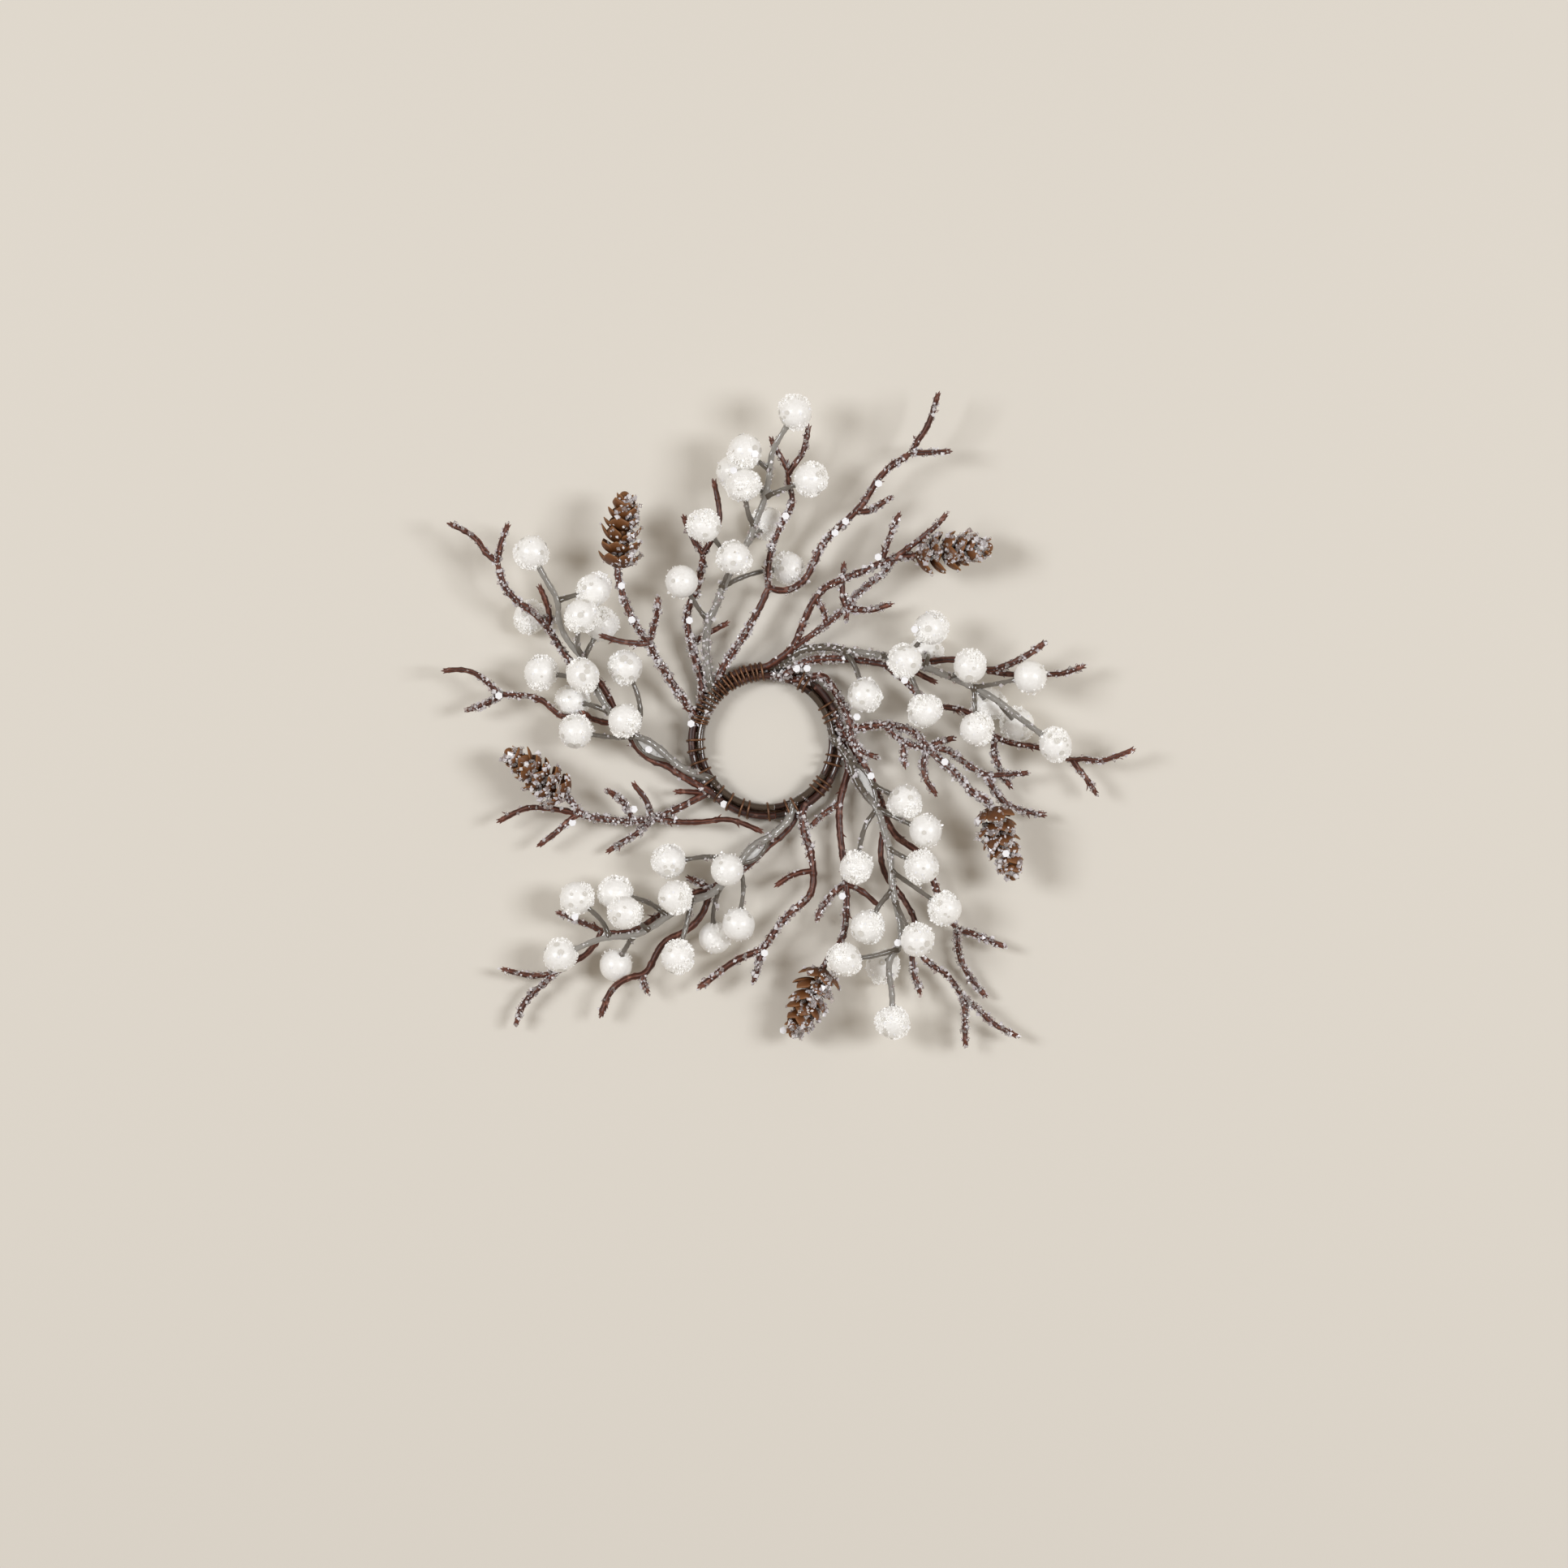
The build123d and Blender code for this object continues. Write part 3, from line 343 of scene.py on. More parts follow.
class Geometry:
    """Collects the faces of one piece."""

    def __init__(self):
        self.points, self.corners, self.sizes, self.mats, self.tones, self.smooth = [], [], [], [], [], []
        self.count = 0

    def add(self, points, faces, mat=BODY, tone=0.5, smooth=True):
        points = np.asarray(points, float).reshape(-1, 3)
        self.points.append(points)
        self.tones.append(np.broadcast_to(tone, len(points)))
        self.add_faces(faces, self.count, mat, smooth)
        self.count += len(points)

    def add_faces(self, faces, first, mat, smooth):
        """Faces over points that are numbered from first."""
        faces = np.asarray(faces)
        self.corners.append((faces + first).ravel())
        self.sizes.append(np.full(len(faces), faces.shape[1]))
        self.mats.append(np.full(len(faces), mat))
        self.smooth.append(np.full(len(faces), smooth))

    def make(self, name, finishes, slot, node_name):
        mesh = bpy.data.meshes.new(name)
        points = np.concatenate(self.points) * MM
        keep_above(points, 0)
        corners, sizes = np.concatenate(self.corners), np.concatenate(self.sizes)
        mesh.vertices.add(len(points))
        mesh.vertices.foreach_set("co", points.ravel().astype(np.float32))
        mesh.loops.add(len(corners))
        mesh.loops.foreach_set("vertex_index", corners.astype(np.int32))
        mesh.polygons.add(len(sizes))
        starts = np.concatenate(([0], np.cumsum(sizes)[:-1]))
        mesh.polygons.foreach_set("loop_start", starts.astype(np.int32))
        mesh.polygons.foreach_set("material_index", np.concatenate(self.mats).astype(np.int32))
        mesh.polygons.foreach_set("use_smooth", np.concatenate(self.smooth))
        tones = mesh.attributes.new("tone", "FLOAT", "POINT")
        tones.data.foreach_set("value", np.concatenate(self.tones).astype(np.float32))
        mesh.update(calc_edges=True)
        mesh.validate()
        for finish in finishes:
            mesh.materials.append(finish)
        piece = add_object(name, mesh)
        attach(piece, "root")
        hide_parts(node_name)


def quads(*corners):
    """Faces, from the numbers of their first, second, third and fourth corners."""
    return np.stack(corners, axis=-1).reshape(-1, 4)


def grid_faces(rows, cols):
    index = np.arange(rows * cols).reshape(rows, cols)
    return quads(index[:-1, :-1], index[1:, :-1], index[1:, 1:], index[:-1, 1:])


OFF_TABLE = 0.05


def add_plate(geometry, front, back, mat, tone):
    """A closed plate between two grids of points, kept above the table."""
    index = np.arange(front[..., 0].size).reshape(front.shape[:2])
    rim = np.concatenate((index[0, :], index[1:, -1], index[-1, -2::-1], index[-2:0:-1, 0]))
    after = np.roll(rim, -1)
    walls = quads(rim, after, after + index.size, rim + index.size)
    faces = grid_faces(*index.shape)
    points = np.vstack((front.reshape(-1, 3), back.reshape(-1, 3)))
    keep_above(points, OFF_TABLE)
    geometry.add(points, np.vstack((faces, faces[:, ::-1] + index.size, walls)), mat, tone)


def tube_faces(rows, sides):
    index = np.arange(rows * sides).reshape(rows, sides)
    across = np.roll(index, -1, axis=1)
    return quads(index[:-1], across[:-1], across[1:], index[1:])


def cap(geometry, ring, centre, mat, tone, flip):
    rim = np.arange(len(ring))
    after = np.roll(rim, -1)
    middle = np.full(len(ring), len(ring))
    faces = np.column_stack((middle, after, rim) if flip else (middle, rim, after))
    geometry.add(np.vstack((ring, centre)), faces, mat, tone)


# A tube adds its long side and then two caps, so the tones of its long side come third from last.
LONG_SIDE, PLAIN_TONE = -3, 0.7


def tube(geometry, path, radii, sides=14, lobes=0, depth=0.0, twist=0.0, blunt=0.35):
    """A closed tube with grooves along it; tone is low in the grooves for painted shade and high on the
    ridges for painted light.
    """
    ways, across, up = frames(path)
    turn = circle(sides)
    phase = rng.uniform(0, 2 * pi) + twist * np.arange(len(path))[:, None]
    lobe = np.cos(lobes * turn[None, :] + phase)
    swell = radii[:, None] * (1 + depth * lobe)
    rings = path[:, None, :] + swell[..., None] * spoke(turn, across[:, None, :], up[:, None, :])
    tone = 0.5 + 0.5 * lobe if lobes else np.full(lobe.shape, PLAIN_TONE)
    geometry.add(rings, tube_faces(len(path), sides), BODY, tone.ravel())
    cap(geometry, rings[0], path[0] - ways[0] * radii[0] * blunt, BODY, tone[0, 0], True)
    cap(geometry, rings[-1], path[-1] + ways[-1] * radii[-1] * blunt, BODY, tone[-1, 0], False)
    return ways, across, up


def thorn(geometry, base, way, outward, length, thick, curve=0.35, sharp=0.05):
    """A small curved spike."""
    steps = np.linspace(0, 1, 5)
    path = base + np.outer(steps, way) * length + np.outer(steps ** 1.6, outward) * length * curve
    tube(geometry, path, thick * (1 - steps) ** 0.8 + sharp, sides=6)


OCTAHEDRON = np.array(((1, 0, 0), (-1, 0, 0), (0, 1, 0), (0, -1, 0), (0, 0, 1), (0, 0, -1)), float)
OCTAHEDRON_FACES = np.array(((0, 2, 4), (2, 1, 4), (1, 3, 4), (3, 0, 4),
                             (2, 0, 5), (1, 2, 5), (3, 1, 5), (0, 3, 5)))


def turned(shapes):
    """Each shape's points, turned at random by a quaternion."""
    turn = unit(rng.normal(size=(len(shapes), 1, 4)))
    sideways = np.cross(turn[..., 1:], shapes)
    return shapes + 2 * (turn[..., :1] * sideways + np.cross(turn[..., 1:], sideways))


def grains(geometry, centres, sizes, mats):
    """Small sharp crystals; mats picks one of two finishes for each."""
    shapes = OCTAHEDRON[None] * rng.uniform(0.55, 1.25, (len(centres), 6, 1)) * sizes[:, None, None]
    points = turned(shapes) + centres[:, None, :]
    tones = rng.uniform(0, 1, len(centres))
    for mat in np.unique(mats):
        chosen = mats == mat
        faces = (OCTAHEDRON_FACES[None] + 6 * np.arange(chosen.sum())[:, None, None]).reshape(-1, 3)
        geometry.add(points[chosen], faces, mat, np.repeat(tones[chosen], 6), smooth=False)


def flakes(geometry, centres, normals, radii, mat, thick=0.06, sides=6):
    """Thin polygonal flakes, facing along normals."""
    turn = circle(sides)
    rim = np.arange(sides)
    after = np.roll(rim, -1)
    walls = quads(rim, after, after + sides, rim + sides)
    lids = [range(sides, 2 * sides), range(sides - 1, -1, -1)]
    for centre, normal, radius in zip(centres, normals, radii):
        side = unit(np.cross(normal, unit(rng.normal(size=3))))
        edge, half = centre + radius * spoke(turn, side, np.cross(normal, side)), normal * thick / 2
        first = geometry.count
        geometry.add(np.vstack((edge - half, edge + half)), walls, mat, smooth=False)
        geometry.add_faces(lids, first, mat, smooth=False)


# Frost: usual and greatest size of a grain, spread of sizes, share of clear grains, how far a run's frost
# reaches back over its bound end, its lift off the tube and its scatter, and grains in a millimetre for each
# step of the tables
GRAIN, GREATEST_GRAIN, SIZE_SPREAD, CLEAR_SHARE, FROST_OVERLAP = 0.5, 0.95, 0.45, 0.55, 4
FROST_LIFT, FROST_SCATTER = (-0.1, 0.28), 0.12
TWIG_FROST, STEM_FROST, SHADED_STEM_FROST = 0.95, 0.3, 0.55


def frost_run(geometry, run, digits, tail_mm, per_mm, bare_mm=0.0):
    """Grains over a tube, as thick as the table says, in clumps, with less of them on a bare tip."""
    path, along, radii, across, up = (values[run[1] >= tail_mm - FROST_OVERLAP] for values in run)
    along = along - along[0]
    density = profile(digits, along) * np.where(along > along[-1] - bare_mm, 0.25, 1)
    clump = 0.55 + 0.9 * np.abs(np.sin(along * rng.uniform(0.5, 0.9) + rng.uniform(0, 6)))
    wanted = density * clump * per_mm * (along[1] - along[0])
    which = np.repeat(np.arange(len(path)), rng.poisson(wanted))
    if not len(which):
        return
    away = spoke(rng.uniform(0, 2 * pi, len(which)), across[which], up[which])
    lift = radii[which] + rng.uniform(*FROST_LIFT, len(which)) + 0.02 * density[which]
    centres = path[which] + away * lift[:, None] + rng.normal(0, FROST_SCATTER, (len(which), 3))
    sizes = GRAIN * rng.lognormal(0, SIZE_SPREAD, len(which))
    keep_above(centres, sizes + OFF_TABLE)
    grains(geometry, centres, np.minimum(sizes, GREATEST_GRAIN),
           np.where(rng.random(len(which)) < CLEAR_SHARE, CLEAR, WHITE))


def tail_line(spray):
    """The bound end of a stem, from its cut end to where it leaves the hoop, and its length."""
    column, row = spray["slot"]
    start, leave = TAIL_STARTS[spray["tail"]], spray["exit"]
    count = max(2, round((start - leave) / TAIL_STEP))
    angles = [start + (leave - start) * n / count for n in range(count + 1)]
    line = [on_hoop(COLUMNS[column], angle, ROWS[row]) for angle in angles]
    return line, sum(np.linalg.norm(b - a) for a, b in zip(line, line[1:]))


# Twigs: radii at the start and end of a main run and an arm, and from what to what each chance size goes
MAIN_TWIG, ARM_TWIG, LEAST_TWIG = (1.18, 1.0), (0.98, 0.8), 0.78
TWIG_SIDES, TWIG_LOBES = 15, 5
FIRST_KNOT, KNOT_GAP, KNOT_HEIGHT, KNOT_WIDTH = (3, 6), (4.5, 9.5), (0.08, 0.24), (0.4, 0.8)
THORN_LENGTH, THORN_THICK, BUD_LENGTH, BUD_THICK = (1.1, 2.1), 0.36, (1.1, 1.8), 0.4
# Lengths at a twig's tip: no knots, the point, the swelling before it, its buds, its paler wood, less frost
NO_KNOTS, POINT, TIP_SWELL, BUDS, PALE, BARE = 3.5, 2.8, 2.3, 2.4, 4, 2.6


def twig_run(geometry, points, radius_ends, digits, pointed, tail_mm=0.0):
    """One run of a brown twig: swellings, grooves, thorns, buds at its tip, and its frost."""
    path, along = smooth_path(points)
    to_tip = along[-1] - along
    radii = radius_ends[0] + (radius_ends[1] - radius_ends[0]) * (along / along[-1])
    if tail_mm:
        radii = np.where(along < tail_mm, STRAND, np.maximum(radii, LEAST_TWIG))
    knots = []
    knot = tail_mm + rng.uniform(*FIRST_KNOT)
    while knot < along[-1] - NO_KNOTS:
        knots.append(knot)
        radii = radii + rng.uniform(*KNOT_HEIGHT) * hump(along - knot, rng.uniform(*KNOT_WIDTH))
        knot += rng.uniform(*KNOT_GAP)
    radii = radii * (1 + 0.05 * np.sin(along * 1.9 + rng.uniform(0, 6)) * (along > tail_mm))
    if pointed:
        radii = radii + 0.22 * hump(to_tip - TIP_SWELL, width=0.6)
        radii = np.where(to_tip < POINT, radii * np.clip((to_tip / POINT) ** 0.75, 0.1, 1), radii)
    ways, across, up = tube(geometry, path, radii, sides=TWIG_SIDES, lobes=TWIG_LOBES, depth=0.09,
                            twist=rng.uniform(-0.03, 0.03), blunt=0.3)
    darker = np.where(along < tail_mm, 0.3, 1.0)
    paler = np.clip(1 - to_tip / PALE, 0, 1) if pointed else 0 * along
    geometry.tones[LONG_SIDE] = (geometry.tones[LONG_SIDE] * np.repeat(darker, TWIG_SIDES)
                                 + np.repeat(paler, TWIG_SIDES))
    for knot in knots:
        if rng.random() < 0.5:
            n = int(np.searchsorted(along, knot))
            away = spoke(rng.uniform(0, 2 * pi), across[n], up[n])
            thorn(geometry, path[n] + away * radii[n] * 0.6, unit(ways[n] + away * 0.7), away,
                  rng.uniform(*THORN_LENGTH), THORN_THICK)
    if pointed:
        n = len(path) - 1 - int(BUDS / (along[1] - along[0]))
        first = rng.uniform(0, 2 * pi)
        for turn in (first, first + 2.2, first + 4.1):
            away = spoke(turn, across[n], up[n])
            thorn(geometry, path[n] + away * radii[n] * 0.55, unit(ways[n] + away * 0.24), away * 0.5,
                  rng.uniform(*BUD_LENGTH), BUD_THICK)
    frost_run(geometry, (path, along, radii, across, up), digits, tail_mm, TWIG_FROST,
              BARE if pointed or not tail_mm else 0.0)


def cone_axis(spray):
    base, tip = place(spray["cone"][0]), place(spray["cone"][1])
    return base, unit(tip - base)


def make_twig(spray, frost):
    geometry = Geometry()
    bound, tail_mm = tail_line(spray)
    main = route(spray, spray["main"])
    if "cone" in spray:
        base, way = cone_axis(spray)
        main += [base - way * CONE_LEAD, base + way * CONE_SEAT]
    twig_run(geometry, bound + main, MAIN_TWIG, frost[0], "cone" not in spray, tail_mm)
    for shares, digits in zip(spray["arms"], frost[1:]):
        twig_run(geometry, route(spray, shares), ARM_TWIG, digits, not isinstance(shares[-1], int))
    return geometry


# Grey stems: radii at the start and end of each kind of run, sides, and how far a run ends from the middle
# of its berry
MAIN_STEM, EYE_STEM, PEDICEL = (1.4, 0.95), (0.68, 0.68), (0.88, 0.74)
STEM_SIDES, PEG_END = 14, 4


def sleeve_tones_with_painted_light(along, lit, broad):
    """Tones of a cloudy sleeve: painted light on top with a painted highlight, the dark line of the wire in
    it, and painted shade until lit is 6.4 mm.
    """
    around = circle(STEM_SIDES)[None, :] - pi / 2
    cloudy = 0.7 + 0.22 * np.sin(along * rng.uniform(0.5, 0.8) + rng.uniform(0, 6))
    cloudy = cloudy + 0.16 * np.sin(along * 2.9)
    drift = 0.55 * np.sin(along * 0.31 + rng.uniform(0, 6))[:, None]
    # light is painted light from above, turning with drift; its seventh power below is a painted highlight.
    light = np.clip(np.cos(around - drift), 0, 1)
    wire = hump(around + 0.75 * np.sign(np.sin(along * 0.12))[:, None] - drift, width=0.34)
    tones = (0.36 if broad else 0.16) + cloudy[:, None] * (0.6 * light + 0.5 * light ** 7)
    tones = np.clip(tones * (1 - (0.55 if broad else 0.2) * wire), 0.05, 1)
    # Painted shade darkens the stem until lit is 6.4 mm.
    return tones * np.clip(0.2 + lit[:, None] / 8, 0.2, 1)


def grey_run(geometry, points, radius_ends, digits, tail_mm=0.0, collar=True, shaded=0.0):
    """One run of a half-clear stem, with its frost, and with the collar of a berry where it has one."""
    path, along = smooth_path(points)
    radii = radius_ends[0] + (radius_ends[1] - radius_ends[0]) * along / along[-1]
    radii = radii * (1 + 0.06 * np.sin(along * 1.1 + rng.uniform(0, 6)) + 0.04 * np.sin(along * 2.7))
    if tail_mm:
        radii = np.where(along < tail_mm, STRAND, radii)
    else:
        radii = radii + 0.35 * hump(along, width=1.3)
    if collar:
        radii = radii + 0.25 * hump(along[-1] - along - 1.2, width=0.7)
    _, across, up = tube(geometry, path, radii, sides=STEM_SIDES, lobes=4, depth=0.07, twist=0.02)
    # The sleeve's tones carry painted light, a painted highlight and painted shade near the ring.
    sleeve = sleeve_tones_with_painted_light(along, along - tail_mm - shaded, radius_ends == MAIN_STEM)
    geometry.tones[LONG_SIDE] = np.where(along[:, None] < tail_mm, 0, sleeve).ravel()
    frost_run(geometry, (path, along, radii, across, up), digits, tail_mm,
              SHADED_STEM_FROST if shaded else STEM_FROST)


def film(geometry, one, two, thick=0.12, bulge=0.35, columns=6):
    """A clear sheet between two lines that have the same number of points."""
    share = np.linspace(0, 1, columns)[None, :, None]
    rise = bulge * np.sin(pi * share) * np.sin(pi * np.linspace(0, 1, len(one)))[:, None, None]
    sheet = one[:, None, :] * (1 - share) + two[:, None, :] * share + UP * rise
    add_plate(geometry, sheet + UP * thick / 2, sheet - UP * thick / 2, FILM, 0.5)


# Cosines of the widest and narrowest forks that have a web
WIDEST_FORK, NARROWEST_FORK = -0.2, 0.97


def web(geometry, corner, one, two, reach=3.2):
    """The thin web of a fork, unless its two ways lie nearly together or far apart."""
    if WIDEST_FORK <= one.dot(two) <= NARROWEST_FORK:
        steps = np.linspace(0.05, 1, 8)[:, None] * reach
        film(geometry, corner + one * steps, corner + two * steps * 0.95, thick=0.3, bulge=0.0)


def berry_place(share):
    """The middle of a berry; one without a height lies on the table."""
    centre = place(share)
    if not share[2]:
        centre[2] = BERRY
    return centre


def peg_end(start, centre):
    return centre - unit(centre - start) * PEG_END


def make_stem(spray, frost, shaded):
    geometry = Geometry()
    bound, tail_mm = tail_line(spray)
    main, eye = route(spray, spray["main"]), route(spray, spray["eye"])
    centres = [berry_place(share) for share in spray["berries"]]
    end = peg_end(main[-1], centres[spray["last"] - 1])
    grey_run(geometry, bound + main + [end], MAIN_STEM, frost, tail_mm, shaded=shaded)
    if eye:
        grey_run(geometry, eye, EYE_STEM, "1111", collar=False)
        beside = main[spray["eye"][0]:spray["eye"][-1] + 1]
        film(geometry, resample(beside, 16), resample(eye, 16))
    for centre, shares in zip(centres, spray["pedicels"]):
        if shares:
            run = route(spray, shares)
            run.append(peg_end(run[-1], centre))
            grey_run(geometry, run, PEDICEL, "3221" if rng.random() < 0.5 else "1012")
            if isinstance(shares[0], int) and shares[0] < len(main) - 1:
                web(geometry, run[0], unit(main[shares[0] + 1] - run[0]), unit(run[1] - run[0]))
    return geometry


def ball(count=32):
    """Directions of a cube's faces blown up to a sphere, and its faces."""
    line = np.tan(np.linspace(-pi / 4, pi / 4, count + 1))
    u, v = np.meshgrid(line, line, indexing="ij")
    one = np.ones_like(u)
    sheets = ((one, u, v), (-one, v, u), (v, one, u), (u, -one, v), (u, v, one), (v, u, -one))
    points = unit(np.vstack([np.stack(sheet, axis=-1).reshape(-1, 3) for sheet in sheets]))
    faces = np.vstack([grid_faces(count + 1, count + 1) + number * u.size for number in range(len(sheets))])
    _, first, inverse = np.unique(np.round(points, 5), axis=0, return_index=True, return_inverse=True)
    return points[first], inverse.ravel()[faces]


BALL, BALL_FACES = ball()
# The berries with little frost, by stem and number
SMOOTH_BERRIES = {(5, 4), (5, 5), (5, 11), (3, 5), (2, 8), (4, 2), (5, 1)}
# Berries: spots tried for grains, how far in the skin lies, its least height over the table, and from what
# to what the swelling under a grain, a grain's size and its lift go
SPOTS, SKIN, LOWEST = 1500, 0.1, 0.02
SWELLING, BERRY_GRAIN, GRAIN_LIFT = (0.02, 0.26), (0.12, 0.38), (-0.1, 0.7)


def berry_flakes(geometry, centre, count, rise, off, radii, mat, tilt=0.0, **sizes):
    """Flakes all round a berry, more of them on top, and tilted up where that is asked for."""
    ways = unit(rng.normal(size=(count, 3)) + UP * rise)
    flakes(geometry, centre + ways * (BERRY + off), unit(ways + UP * tilt) if tilt else ways,
           rng.uniform(*radii, count), mat, **sizes)


def make_berries(stem, spray):
    geometry = Geometry()
    for number, share in enumerate(spray["berries"], start=1):
        centre = berry_place(share)
        plain = (stem, number) in SMOOTH_BERRIES
        # The grains gather round three patches, and the skin swells under each grain.
        patches = unit(rng.normal(size=(3, 3)) * (1, 1, 0.55))
        spots = unit(rng.normal(size=(SPOTS, 3)))
        near = (spots @ patches.T).max(axis=1)
        chance = 0.12 + 0.74 * np.clip((near - 0.55) / 0.3, 0, 1)
        kept = rng.random(len(spots)) < chance * (0.12 if plain else 1)
        spots, closeness = spots[kept], np.clip((near[kept] - 0.5) / 0.4, 0.15, 1)
        heights = rng.uniform(*SWELLING, len(spots)) * closeness
        swell = (heights[None, :] * np.exp((BALL @ spots.T - 1) / 0.0035)).max(axis=1)
        points = centre + BALL * (BERRY - SKIN + swell)[:, None]
        keep_above(points, LOWEST)
        geometry.add(points, BALL_FACES, PEARL, np.clip(swell / 0.2, 0, 1))
        sizes = rng.uniform(*BERRY_GRAIN, len(spots)) * (0.5 + 0.5 * closeness)
        sizes = sizes * np.where(rng.random(len(spots)) < 0.13, 2.0, 1.0)
        out = centre + spots * (BERRY + rng.uniform(*GRAIN_LIFT, len(spots)) * closeness ** 1.5)[:, None]
        keep_above(out, sizes * 1.3)
        grains(geometry, out, sizes, np.where(rng.random(len(spots)) < 0.4, ICE, SNOW))
        count = 2 if plain else 9
        berry_flakes(geometry, centre, count, rise=0.35, off=0.05, radii=(0.35, 1.2), mat=FLAKE, sides=8)
        berry_flakes(geometry, centre, count, rise=0.6, off=0.12, radii=(0.22, 0.45), mat=SHINE, tilt=0.8)
    return geometry


# Tiers of a cone: height of the foot, reach of the tips, rise of the tips above the foot, scales
CONE_TIERS = ((0.2, 7.3, 4.2, 6), (4.2, 7.1, 4.9, 6), (8.3, 6.6, 4.9, 6), (12.2, 5.9, 4.8, 5),
              (15.8, 4.9, 4.3, 5), (19.2, 3.8, 3.4, 4), (21.6, 2.7, 2.9, 5))
# The core's length and radius, the knob at its end, the foot and thickness of a scale, and the twig's end
CORE_LENGTH, CORE_RADIUS, KNOB_AT, KNOB_RADIUS = 22.5, 1.5, 23.6, 1.75
SCALE_FOOT, SCALE_THICK, CONE_LEAD, CONE_SEAT = 1.2, 0.3, 3, 2
# The frost on the scales: usual and greatest grain, least height over the table, lift and scatter
CONE_GRAIN, GREATEST_CONE_GRAIN, CONE_FROST_LOWEST = 0.66, 1.3, 0.7
CONE_LIFT, CONE_SCATTER = (-0.1, 0.85), 0.15


def make_cone(spray, frosted):
    """Open tiers of cupped, pointed scales on a core, with frost over one side."""
    geometry = Geometry()
    base, way = cone_axis(spray)
    side = unit(np.cross(way, UP))
    over = np.cross(side, way)
    steps = np.linspace(0, 1, 18)
    tube(geometry, base + np.outer(steps * CORE_LENGTH, way), CORE_RADIUS * (1 - 0.3 * steps), sides=12)
    geometry.add(base + way * KNOB_AT + BALL * KNOB_RADIUS, BALL_FACES, tone=0.6)
    lean, thickness = frosted
    frost_way = unit(side * lean + over * 0.7)
    for tier, (foot, reach, rise, count) in enumerate(CONE_TIERS):
        first = rng.uniform(0, 2 * pi)
        for number in range(count):
            outward = spoke(first + 2 * pi * number / count + rng.normal(0, 0.08), side, over)
            far = reach * rng.uniform(0.88, 1.06)
            start = base + way * (foot + rng.normal(0, 0.2))
            sheet, inward = cone_scale(start, outward, way, far, rise * rng.uniform(0.8, 1.2), count)
            add_plate(geometry, sheet, sheet - inward * SCALE_THICK, BODY,
                      scale_tones_with_painted_shade(*sheet.shape[:2], 0.12 * tier / len(CONE_TIERS)))
            amount = thickness * np.clip(0.25 + outward.dot(frost_way), 0.03, 1.3)
            cone_grains(geometry, sheet, inward, rng.poisson(amount))
    return geometry


def cone_grains(geometry, sheet, inward, count):
    """Grains on the inside of a scale, but not at its foot."""
    if count:
        rows, cols = sheet.shape[:2]
        row, col = rng.integers(2, rows, count), rng.integers(0, cols, count)
        lift = rng.uniform(*CONE_LIFT, count)[:, None]
        centres = sheet[row, col] - inward[row, col] * lift + rng.normal(0, CONE_SCATTER, (count, 3))
        keep_above(centres, CONE_FROST_LOWEST)
        sizes = np.minimum(CONE_GRAIN * rng.lognormal(0, SIZE_SPREAD, count), GREATEST_CONE_GRAIN)
        grains(geometry, centres, sizes, np.where(rng.random(count) < 0.5, CLEAR, WHITE))


def cone_scale(foot, outward, way, reach, rise, count, rows=10, cols=9):
    """The points of one scale, part of a bowl that ends in a point, and the ways to its inside."""
    across = np.cross(way, outward)
    along = np.linspace(0, 1, rows)
    far = SCALE_FOOT + (reach - SCALE_FOOT) * np.sin(along * 1.25) / sin(1.25)
    high = rise * (0.25 * along + 0.75 * along ** 1.9)
    spine = foot + far[:, None] * outward + high[:, None] * way
    wide = far * tan(pi / count) * 1.12 * np.clip(1 - np.clip((along - 0.45) / 0.55, 0, 1) ** 1.7, 0.015, 1)
    cross = np.linspace(-1, 1, cols)
    inward = unit(np.cross(np.gradient(spine, axis=0), across))
    inward = inward * np.sign((inward * (way - outward)).sum(axis=1))[:, None]
    cup = 0.32 * wide[:, None] * cross[None, :] ** 2
    sheet = (spine[:, None, :] + (wide[:, None] * cross[None, :])[..., None] * across
             + cup[..., None] * inward[:, None, :])
    return sheet, inward[:, None, :] * np.ones((1, cols, 1))


def scale_tones_with_painted_shade(rows, cols, paler):
    """Tones of a scale's inside and back, with painted shade at the foot, deep among the scales, and lighter
    at the tip and the edges.
    """
    along, cross = np.linspace(0, 1, rows)[:, None], np.abs(np.linspace(-1, 1, cols))[None, :]
    tone = np.clip(0.55 * along ** 0.9 + 0.3 * cross ** 6 + 0.2 * (along > 0.9) + paler, 0, 1).ravel()
    return np.concatenate((tone, tone * 0.8 + 0.1))


def make_hoop(column, steps=360, sides=14, lobes=5):
    """One closed, grooved wire of the hoop."""
    geometry = Geometry()
    turn, around = circle(steps), circle(sides)
    out = spoke(turn, np.array((1.0, 0, 0)), np.array((0, 1.0, 0)))
    thick = STRAND * (1 + 0.07 * np.cos(lobes * around)[None, :] + 0.03 * np.sin(turn * 31)[:, None])
    centres = (out * COLUMNS[column] + UP * ROWS[0])[:, None, :]
    index = np.arange(steps * sides).reshape(steps, sides)
    after, side = np.roll(index, -1, axis=0), np.roll(index, -1, axis=1)
    # The tone is low in the grooves, for painted shade there, and high on the ridges.
    geometry.add(centres + thick[..., None] * spoke(around, out[:, None, :], UP),
                 quads(index, after, np.roll(after, -1, axis=1), side),
                 tone=np.tile(0.5 + 0.5 * np.cos(lobes * around), steps))
    return geometry


# The binding wire: its radius, half the width and height of the rounded oval that it follows, the power
# that rounds the oval, the angle that one turn takes up, how much that angle and the places of the turns
# vary, and points in a turn
BINDING_RADIUS, HALF_WIDE, HALF_HIGH, OVAL_POWER = 0.4, 2.95, 3.3, 2 / 2.6
LEAD, LEAD_SPREAD, PLACE_SPREAD, STEPS_PER_TURN = 2.2, 0.9, 0.55, 26


